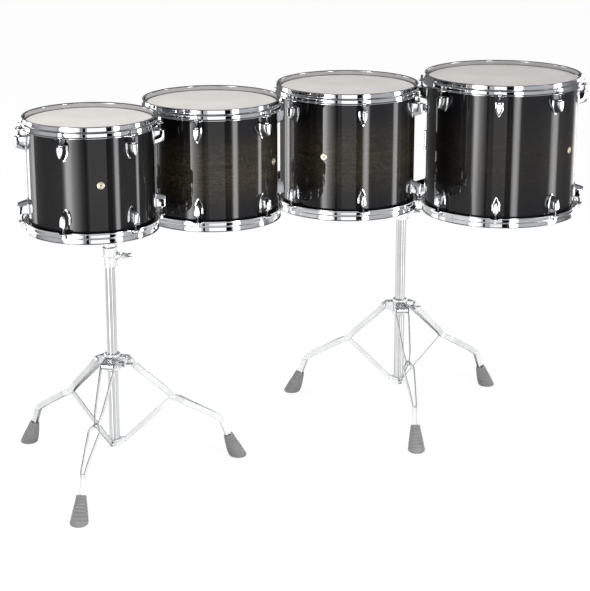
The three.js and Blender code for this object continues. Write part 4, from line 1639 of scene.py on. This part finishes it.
def height_clamp(stand):
    middle = (clamp_low + clamp_high) / 2
    bore = post_radius + slide_clearance
    sleeve = clamp_radius - clamp_sleeve_inset
    body = lathe(fillet([
        (clamp_seat, clamp_low), (sleeve, clamp_low), (sleeve, middle - clamp_taper_half),
        (clamp_radius, middle + clamp_taper_half), (clamp_radius, clamp_high - clamp_rim_fall),
        (clamp_radius - clamp_rim_inset, clamp_high), (bore, clamp_high),
        (bore, tube_high + above_the_tube), (clamp_seat, tube_high + above_the_tube),
    ], clamp_round), casting_sides)
    lobe = lathe([(0, lobe_start), *fillet([
        (lobe_radius, lobe_start), (lobe_radius, lobe_band_end), lobe_shoulder, lobe_neck,
        (lobe_end_radius, lobe_end), (wing_shaft_radius + screw_clearance, lobe_end),
    ], lobe_round, 2, closed=False), (0, lobe_end - lobe_dimple)], 36)
    lobe = placed(lobe, lay_down, shift(z=middle))
    tongue_end = -(middle - clamp_low) + tongue_short
    tongue = plate(fillet([
        (-tongue_half, 0), (tongue_half, 0), (tongue_tip_half, tongue_end), (-tongue_tip_half, tongue_end),
    ], tongue_round, 4), tongue_sheet)
    tongue = placed(tongue, across_leg, turn(math.pi / 2), shift(tongue_out, 0, middle))
    return joined([body, *(placed(part, turn(stand["height_wing"])) for part in (lobe, tongue))])


for name, stand in stands.items():
    add_piece(
        f"{name}_clamp_casting", height_clamp(stand), stand_chrome, "floor_frames",
        at_stand(stand, 0), [f"{name}_height_clamp"], 35, 0.4 * mm,
    )
    print(name, "height clamp cast")

# %% [markdown]
# Stop locks
# The stop lock remembers how far the post was pulled out. It is a plain ring with a key
# bolt in a round collar, on the same side as the clamp's wing screw.

# %% Cast the stop locks
lock_radius = 19 * mm
lock_edge_inset, lock_edge_height = 1 * mm, 1.2 * mm
key_collar_start, key_collar_end = 14 * mm, 21 * mm
key_collar_radius, key_collar_tip_radius = 5.7 * mm, 4.4 * mm
key_collar_crown = 21.6 * mm
key_bolt_half = 3.2 * mm
key_bolt_height = 5.6 * mm
key_bolt_out = 24 * mm
lock_round, key_round = 0.7 * mm, 0.6 * mm


def stop_lock(stand):
    bore = post_radius + slide_clearance
    edge = lock_radius - lock_edge_inset
    ring = lathe(fillet([
        (bore, lock_low), (edge, lock_low), (lock_radius, lock_low + lock_edge_height),
        (lock_radius, lock_high - lock_edge_height), (edge, lock_high), (bore, lock_high),
    ], lock_round, 2), casting_sides)
    collar = placed(lathe([(0, key_collar_start), *fillet([
        (key_collar_radius, key_collar_start), (key_collar_radius, key_collar_end),
        (key_collar_tip_radius, key_collar_crown),
    ], screw_round, 2, closed=False), (0, key_collar_crown)], small_sides), lay_down)
    key = plate(round_cornered(key_bolt_half, key_bolt_half, key_round, 2), key_bolt_height)
    key = placed(key, lay_down, shift(key_bolt_out))
    to_the_side = (turn(stand["height_wing"]), shift(z=(lock_low + lock_high) / 2))
    return joined([ring, *(placed(part, *to_the_side) for part in (collar, key))])


for name, stand in stands.items():
    add_piece(
        f"{name}_stop_lock_ring", stop_lock(stand), stand_chrome, f"{name}_stop_lock",
        at_stand(stand, 0), [f"{name}_stop_lock"], 35, 0.3 * mm,
    )
    print(name, "stop lock cast")

# %% [markdown]
# Posts and holders
# The post is a smooth chromed tube. Its top carries the twin holder: a cast block with its
# upright corners cut, a low domed cap, and a toothed disc on each side that the arms' discs
# mesh with.

# %% Cut the toothed discs
ratchet_radius = 17 * mm
ratchet_sheet = 8 * mm
ratchet_teeth = 36
points_per_tooth = 4
tooth_depth = 1.1 * mm
disc_edge = 0.8 * mm
tooth_foot, tooth_start = 3.4 * mm, 2.8 * mm
tooth_tip_inset = 0.3 * mm


def toothed_disc(low, high, teeth_at_high):
    """A disc along X, with teeth cut in the rim at one of its faces"""
    radius = ratchet_radius
    plan = [
        (low, radius - disc_edge, 0), (low + disc_edge, radius, 0), (high - tooth_foot, radius, 0),
        (high - tooth_start, radius, tooth_depth), (high, radius - tooth_tip_inset, tooth_depth),
    ]
    if not teeth_at_high:
        plan = [(low + high - level, size, cut) for level, size, cut in reversed(plan)]
    rings = []
    for level, size, cut in plan:
        ring = []
        for k, angle in enumerate(circle(points_per_tooth * ratchet_teeth)):
            reach = size - (cut if k % points_per_tooth > 1 else 0)
            ring.append((level, reach * math.cos(angle), reach * math.sin(angle)))
        rings.append(ring)
    return skin(rings)


print("points of a toothed disc:", len(toothed_disc(0, ratchet_sheet, True)[0]))

# %% [markdown]
# The holder on its post
# The block is skinned from one outline at several heights, which is drawn in at the top for
# the cap. The discs reach a little into the block, as on one casting. Post and holder are
# two pieces, since the tube is polished along its length and the casting isn't.

# %% Make the posts
holder_half = Vector((22 * mm, 17 * mm, 18 * mm))
holder_corner = 6.8 * mm
# The block's heights, up from its foot or down from its top in mm, and the share of its outline
holder_foot = [(0.0, 0.93), (1.2, 1.0)]
holder_cap = [(3.0, 1.0), (1.0, 0.95), (0.0, 0.82)]
disc_sunk = 2 * mm
post_wall = 1.5 * mm
post_sunk = 3 * mm
holder_round, post_round = 2.5 * mm, 0.4 * mm


def holder_block():
    x, y, z = holder_half
    c = holder_corner
    outline = fillet([
        (-x, c - y), (c - x, -y), (x - c, -y), (x, c - y), (x, y - c), (x - c, y), (c - x, y), (-x, y - c),
    ], holder_round)
    levels = [(-z + up * mm, share) for up, share in holder_foot]
    levels += [(z - down * mm, share) for down, share in holder_cap]
    rings = [[(a * share, b * share, level) for a, b in outline] for level, share in levels]
    return placed(skin(rings), shift(z=holder_height))


for name, stand in stands.items():
    inside = post_radius - post_wall
    post_high = holder_height - holder_half.z + post_sunk
    tube = lathe(fillet([
        (inside, post_low), (post_radius, post_low), (post_radius, post_high), (inside, post_high),
    ], post_round, 2), tube_sides)
    place = at_stand(stand, stand["yaw"])
    body = f"{name}_post"
    add_piece(f"{name}_drawn_post", tube, tube_chrome, body, place, [body])
    disc = toothed_disc(holder_half.x - disc_sunk, holder_half.x + ratchet_sheet, True)
    discs = [placed(disc, turn(angle), shift(z=holder_height)) for angle in (0, math.pi)]
    holder = joined([holder_block(), *discs])
    add_piece(
        f"{name}_twin_holder", holder, cast_chrome, body, place, [body], 35, 0.3 * mm,
    )
    print(name, "post and holder")

# %% [markdown]
# Arms
# An arm starts at its own toothed disc, runs out to the side, and turns down into the
# drum's bracket. The rod's route is known from both its ends: the disc's middle, and the
# bracket's bore, which is worked out from the drum's place and facing. A rod swept along
# that line with one round bend is what the factory bends too.

# %% Bend the arms
disc_gap = 0.3 * mm
arm_disc_start = holder_half.x + ratchet_sheet + disc_gap
arm_disc_end = arm_disc_start + 12 * mm
arm_bend = 24 * mm
arm_tail = 15 * mm
arm_screw_shaft = 14 * mm
arm_screw_sunk = 3 * mm


def arm_solid(tom, stand, way):
    spin = turn(-stand["yaw"])
    reach = bore_reach(tom)
    out = Vector((math.cos(tom["facing"]), math.sin(tom["facing"]), 0)) * reach
    socket = spin @ (tom["centre"] - stand["axis"] + out)
    bracket_bottom = tom["centre"].z - bracket_drop - bracket_height
    corner = Vector((socket.x, socket.y, holder_height))
    end = Vector((socket.x, socket.y, bracket_bottom - arm_tail))
    start = Vector((way * (arm_disc_end - arm_rod_radius), 0, holder_height))
    route = fillet([start, corner, end], arm_bend, 12, closed=False)
    rod = sweep(route, arm_rod_radius, 24)
    disc = toothed_disc(arm_disc_start, arm_disc_end, False)
    if way < 0:
        disc = placed(disc, turn(math.pi))
    return joined([rod, placed(disc, shift(z=holder_height))])


for name, tom in toms.items():
    stand = stands[tom["stand"]]
    way = -1 if tom["side"] == "left" else 1
    body = f"{tom['stand']}_arm_{tom['side']}"
    place = at_stand(stand, stand["yaw"])
    add_piece(
        f"{body}_bent_rod", arm_solid(tom, stand, way), hoop_chrome, body, place, [body], 38,
    )
    to_its_side = turn(0 if way > 0 else math.pi)
    outwards = shift(arm_disc_end - arm_screw_sunk)
    screw = placed(wing_screw(arm_screw_shaft), outwards, to_its_side, shift(z=holder_height))
    add_piece(f"{body}_wing_screw", screw, cast_chrome, body, place, [body], 40)
    print(body, "carries", name)

# %% [markdown]
# Camera
# The camera stands where the photographer stood: turned to the drums' left, looking down
# at about 17 degrees, with a long lens, so that far and near drums keep nearly one scale.

# %% Place the camera
camera_place = Vector((-2.2073, -4.0395, 1.825))
camera_azimuth = math.radians(-28.93)
camera_tilt = math.radians(16.8)
lens_in_mm = 107.4
sensor_in_mm = 36
farthest_seen = 200
camera = bpy.data.objects.new("photo_camera", bpy.data.cameras.new("photo_camera"))
bpy.context.scene.collection.objects.link(camera)
looking = Vector((
    -math.sin(camera_azimuth) * math.cos(camera_tilt),
    math.cos(camera_azimuth) * math.cos(camera_tilt),
    -math.sin(camera_tilt),
))
camera.location = camera_place
camera.rotation_euler = looking.to_track_quat("-Z", "Y").to_euler()
camera.data.lens = lens_in_mm
camera.data.sensor_width = sensor_in_mm
camera.data.clip_end = farthest_seen
bpy.context.scene.camera = camera
print("camera looks along", [round(value, 3) for value in looking])

# %% [markdown]
# Floor and background
# The background is plain white. Seen by the camera, or through glass, the floor and the sky
# are white by themselves, so no lamp has to burn them out. The floor keeps a little of its
# real shading, and with it the soft shadow under the feet. Mirrors don't see the floor at
# all: the mirrored sky of the next cell stands in for it.

# %% Helpers for the studio
def bare_material(name):
    """A new material with an empty node tree"""
    material = bpy.data.materials.new(name)
    material.use_nodes = True
    material.node_tree.nodes.clear()
    return material, material.node_tree
def seen_directly(tree, path):
    """1 for rays from the camera or through glass, and 0 for the rest"""
    rays = {0: path["Is Camera Ray"], 1: path["Is Transmission Ray"]}
    return add_node(tree, "ShaderNodeMath", rays, operation="MAXIMUM").outputs["Value"]


def stage_sheet(name, corners, material, place=None, faces=None):
    """A sheet of the studio, of one face unless told otherwise"""
    mesh = bpy.data.meshes.new(name)
    mesh.from_pydata(corners, [], faces or [tuple(range(len(corners)))])
    mesh.materials.append(material)
    sheet = bpy.data.objects.new(name, mesh)
    bpy.context.scene.collection.objects.link(sheet)
    sheet.matrix_world = place or Matrix.Identity(4)
    return sheet
print("studio helpers are ready")

# %% [markdown]
# A disc of floor
# A large disc lies a hair below the feet. Light from the lamps falls on a pale floor, which
# sends some of it back up. What the camera sees is another, mostly glowing floor.

# %% Lay the floor
floor_radius = 40
floor_drop = 0.2 * mm
floor_sides = 64
lit_grey = (0.82, 0.82, 0.82, 1)
faint_grey = (0.22, 0.22, 0.22, 1)
white = (1, 1, 1, 1)
floor_glow = 0.86
floor_material, tree = bare_material("studio_floor")
seen = seen_directly(tree, add_node(tree, "ShaderNodeLightPath").outputs)
lit_floor = add_node(tree, "ShaderNodeBsdfDiffuse", {"Color": lit_grey}).outputs[0]
faint_floor = add_node(tree, "ShaderNodeBsdfDiffuse", {"Color": faint_grey}).outputs[0]
glow = add_node(tree, "ShaderNodeEmission", {"Color": white, "Strength": floor_glow}).outputs[0]
pale_floor = add_node(tree, "ShaderNodeAddShader", {0: faint_floor, 1: glow}).outputs[0]
floor_look = add_node(tree, "ShaderNodeMixShader", {0: seen, 1: lit_floor, 2: pale_floor}).outputs[0]
add_node(tree, "ShaderNodeOutputMaterial", {"Surface": floor_look})
rim = [(floor_radius * math.cos(a), floor_radius * math.sin(a), -floor_drop) for a in circle(floor_sides)]
floor = stage_sheet("studio_floor", rim, floor_material)
floor.visible_glossy = False
print("floor radius", floor_radius)

# %% [markdown]
# The sky over the set
# All round the set the sky gives an even soft light. What the chrome mirrors is another
# matter: a studio is pale in front of the set and on its floor, but has a dark ceiling and
# a dark back. It is this change that draws the dark lines along a hoop's steps and lips.

# %% Set the sky
fill_light = 0.55
towards_the_camera = (-0.48, -0.88, 0)
dark_back = (0.20, 0.20, 0.205)
back_ends, front_starts = -0.45, 0.25
world = bpy.data.worlds.new("studio")
bpy.context.scene.world = world
world.use_nodes = True
tree = world.node_tree
tree.nodes.clear()
direction = add_node(tree, "ShaderNodeTexCoord").outputs["Generated"]
upwards = add_node(tree, "ShaderNodeSeparateXYZ", {"Vector": direction}).outputs["Z"]
risen = add_node(tree, "ShaderNodeMapRange", {"Value": upwards, "From Min": -1.0}).outputs["Result"]
front = ramp(tree, risen, [
    (0.0, (0.58, 0.59, 0.59)), (0.3, (0.65, 0.66, 0.68)), (0.5, (0.65, 0.67, 0.70)),
    (0.66, (0.50, 0.52, 0.55)), (0.84, 0.12), (1.0, 0.06),
])
facing = add_node(
    tree, "ShaderNodeVectorMath", {0: direction, 1: towards_the_camera}, operation="DOT_PRODUCT"
).outputs["Value"]
in_front = add_node(
    tree, "ShaderNodeMapRange", {"Value": facing, "From Min": back_ends, "From Max": front_starts}
).outputs["Result"]
mirrored_sky = blend_colours(tree, in_front, dark_back, front)
path = add_node(tree, "ShaderNodeLightPath").outputs
soft_fill = (fill_light, fill_light, fill_light)
plain_sky = blend_colours(tree, seen_directly(tree, path), soft_fill, white[:3])
sky_colour = blend_colours(tree, path["Is Glossy Ray"], plain_sky, mirrored_sky)
sky = add_node(tree, "ShaderNodeBackground", {"Color": sky_colour, "Strength": 1.0}).outputs[0]
add_node(tree, "ShaderNodeOutputWorld", {"Surface": sky})
print("sky light", fill_light)

# %% [markdown]
# Strip lights
# The upright bands on the dark lacquer are reflections, so they aren't painted on: tall
# strip lights stand round the set. A strip light is brightest over its core and fades
# towards its sides. The panels reach below the floor, because the lacquer's mirror image
# looks down there, and only mirrors see them: camera and plain surfaces don't.

# %% Helpers for panels
panel_top = 1.35
panel_foot = -1.6
glow_falls_from = 0.35
glow_falls_to = -0.6


def only_in_mirrors(sheet):
    sheet.visible_camera = False
    sheet.visible_diffuse = False
    sheet.visible_transmission = False
    sheet.visible_volume_scatter = False
    sheet.visible_shadow = False


def upright_panel(name, start, end, material):
    """A panel that stands on the floor between two places, with its own X running from start to end"""
    start, end = Vector((*start, 0)), Vector((*end, 0))
    width = (end - start).length
    corners = [(0, 0, panel_foot), (width, 0, panel_foot), (width, 0, panel_top), (0, 0, panel_top)]
    along = end - start
    place = Matrix.Translation(start) @ turn(math.atan2(along.y, along.x))
    only_in_mirrors(stage_sheet(name, corners, material, place))


def glow_material(name, strength, width, stops, share_at_foot=0.3, seen_through=0.0):
    """A glow whose strength follows the stops, from the panel's start to its end"""
    material, tree = bare_material(name)
    own = add_node(
        tree, "ShaderNodeSeparateXYZ",
        {"Vector": add_node(tree, "ShaderNodeTexCoord").outputs["Object"]},
    ).outputs
    across = add_node(tree, "ShaderNodeMath", {0: own["X"], 1: width}, operation="DIVIDE").outputs["Value"]
    upwards = add_node(tree, "ShaderNodeMapRange", {
        "Value": own["Z"], "From Min": glow_falls_to, "From Max": glow_falls_from,
        "To Min": share_at_foot * strength, "To Max": strength,
    }).outputs["Result"]
    power = add_node(
        tree, "ShaderNodeMath", {0: ramp(tree, across, stops), 1: upwards}, operation="MULTIPLY"
    ).outputs["Value"]
    glow = add_node(tree, "ShaderNodeEmission", {"Color": white, "Strength": power}).outputs[0]
    gauze_colour = (seen_through, seen_through, seen_through, 1)
    gauze = add_node(tree, "ShaderNodeBsdfTransparent", {"Color": gauze_colour}).outputs[0]
    cloth = add_node(tree, "ShaderNodeAddShader", {0: glow, 1: gauze}).outputs[0]
    add_node(tree, "ShaderNodeOutputMaterial", {"Surface": cloth})
    return material
print("panels reach from", panel_foot, "to", panel_top)

# %% [markdown]
# Where the panels stand
# Each panel stands where its mirror image falls on the right band of a drum, seen from the
# camera. Its glow is a row of stops from its start to its end: soft on both sides, soft on
# one side only, slowly fading, or even. The wide screen in front is the dimmest of them.

# %% Set up the strip lights
even = [(0.0, 1.0), (1.0, 1.0)]
soft_both = [(0.0, 0.0), (0.3, 0.85), (0.5, 1.0), (0.7, 0.85), (1.0, 0.0)]
soft_start = [(0.0, 0.0), (0.45, 0.45), (0.75, 1.0), (0.92, 0.8), (1.0, 0.0)]
rising = [(0.0, 0.0), (0.5, 1.0), (1.0, 1.0)]
fading = [
    (0.0, 0.0), (0.12, 0.12), (0.2, 0.5), (0.28, 1.0),
    (0.42, 0.84), (0.56, 0.4), (0.8, 0.12), (1.0, 0.0),
]
edge_glow = [(0.0, 0.4), (0.35, 0.3), (0.62, 0.6), (0.74, 1.0), (0.86, 0.5), (1.0, 0.4)]
glowing_panels = {
    "strip_light_0": ((-0.62, 2.03), (-1.30, 1.80), 11.7, edge_glow),
    "strip_light_1": ((-1.30, 1.80), (-2.00, 1.28), 6.3, soft_start),
    "strip_light_2": ((-2.525, -0.63), (-1.85, -1.88), 18.5, fading),
    "strip_light_3": ((-0.08, -1.99), (0.36, -1.99), 15.5, soft_both),
    "strip_light_4": ((1.42, -1.24), (1.88, -1.00), 12.0, soft_both),
    "strip_light_5": ((2.56, 0.10), (2.20, 1.10), 3.9, rising),
    "front_screen": ((-1.70, -2.32), (-0.34, -2.56), 1.85, even),
}
for name, (start, end, strength, stops) in glowing_panels.items():
    width = (Vector(end) - Vector(start)).length
    upright_panel(name, start, end, glow_material(name, strength, width, stops))
print("glowing panels", len(glowing_panels))

# %% [markdown]
# Low curtains
# A low pale curtain round each stand keeps its legs and tubes as light as in a product
# photo. It is a thin gauze: it glows, and a mirror still sees a little of what is behind
# it, so that the chrome keeps some of its contrast.

# %% Hang the curtains
curtain_radius = 0.52
curtain_top = 0.5
curtain_foot = -0.4
curtain_sides = 48
curtain_glow = glow_material("low_curtain", 0.74, 1.0, even, share_at_foot=1.72, seen_through=0.3)
curtain_faces = [
    (2 * i, 2 * i + 1, (2 * i + 3) % (2 * curtain_sides), (2 * i + 2) % (2 * curtain_sides))
    for i in range(curtain_sides)
]
curtain_corners = [
    (curtain_radius * math.cos(angle), curtain_radius * math.sin(angle), level)
    for angle in circle(curtain_sides)
    for level in (curtain_foot, curtain_top)
]
for name, stand in stands.items():
    place = Matrix.Translation(stand["axis"])
    curtain = stage_sheet(f"{name}_low_curtain", curtain_corners, curtain_glow, place, curtain_faces)
    only_in_mirrors(curtain)
print("curtains", len(stands), "of radius", curtain_radius)

# %% [markdown]
# Black cards
# Between two bright bands the lacquer should be truly black. A narrow black card stands
# there and hides whatever pale thing is behind it from the mirror.

# %% Stand up the black cards
nearly_black = (0.004, 0.004, 0.004, 1)
black, tree = bare_material("black_card")
soot = add_node(tree, "ShaderNodeBsdfDiffuse", {"Color": nearly_black}).outputs[0]
add_node(tree, "ShaderNodeOutputMaterial", {"Surface": soot})
black_cards = {
    "black_card_1": ((-1.57, -1.57), (-1.45, -1.64)),
    "black_card_2": ((-0.46, -2.15), (-0.12, -2.19)),
}
for name, (start, end) in black_cards.items():
    upright_panel(name, start, end, black)
print("black cards", len(black_cards))

# %% [markdown]
# Lamps
# Two large soft lamps add to the even light of the sky. One hangs over the near drums and
# lights their heads, and one stands in front, as low as the drums, and brings out the wood
# of the shells. Mirrors don't see them, since a hard white square in the chrome would give
# the studio away. The view transform is Standard, so that a colour renders about as it is
# written.

# %% Light the set
def soft_lamp(name, width, depth, watts, place, aimed_at):
    lamp = bpy.data.objects.new(name, bpy.data.lights.new(name, "AREA"))
    bpy.context.scene.collection.objects.link(lamp)
    lamp.data.shape = "RECTANGLE"
    lamp.data.size = width
    lamp.data.size_y = depth
    lamp.data.energy = watts
    lamp.location = place
    lamp.rotation_euler = (Vector(aimed_at) - lamp.location).to_track_quat("-Z", "Y").to_euler()
    lamp.visible_camera = False
    lamp.visible_glossy = False
    print(name, watts, "W")


soft_lamp("top_lamp", 2.0, 2.0, 32, (-1.3, -0.7, 3.0), (-0.6, -0.1, 0.9))
soft_lamp("front_lamp", 1.2, 1.0, 22, (0.6, -2.8, 0.85), (0, -0.1, 0.85))
bpy.context.scene.view_settings.view_transform = "Standard"

# %% [markdown]
# Pieces and points The finished pieces and their points are counted.

# %% Count the pieces and finish
print("pieces:", len(all_pieces), "points:", sum(len(piece.data.vertices) for piece in all_pieces))
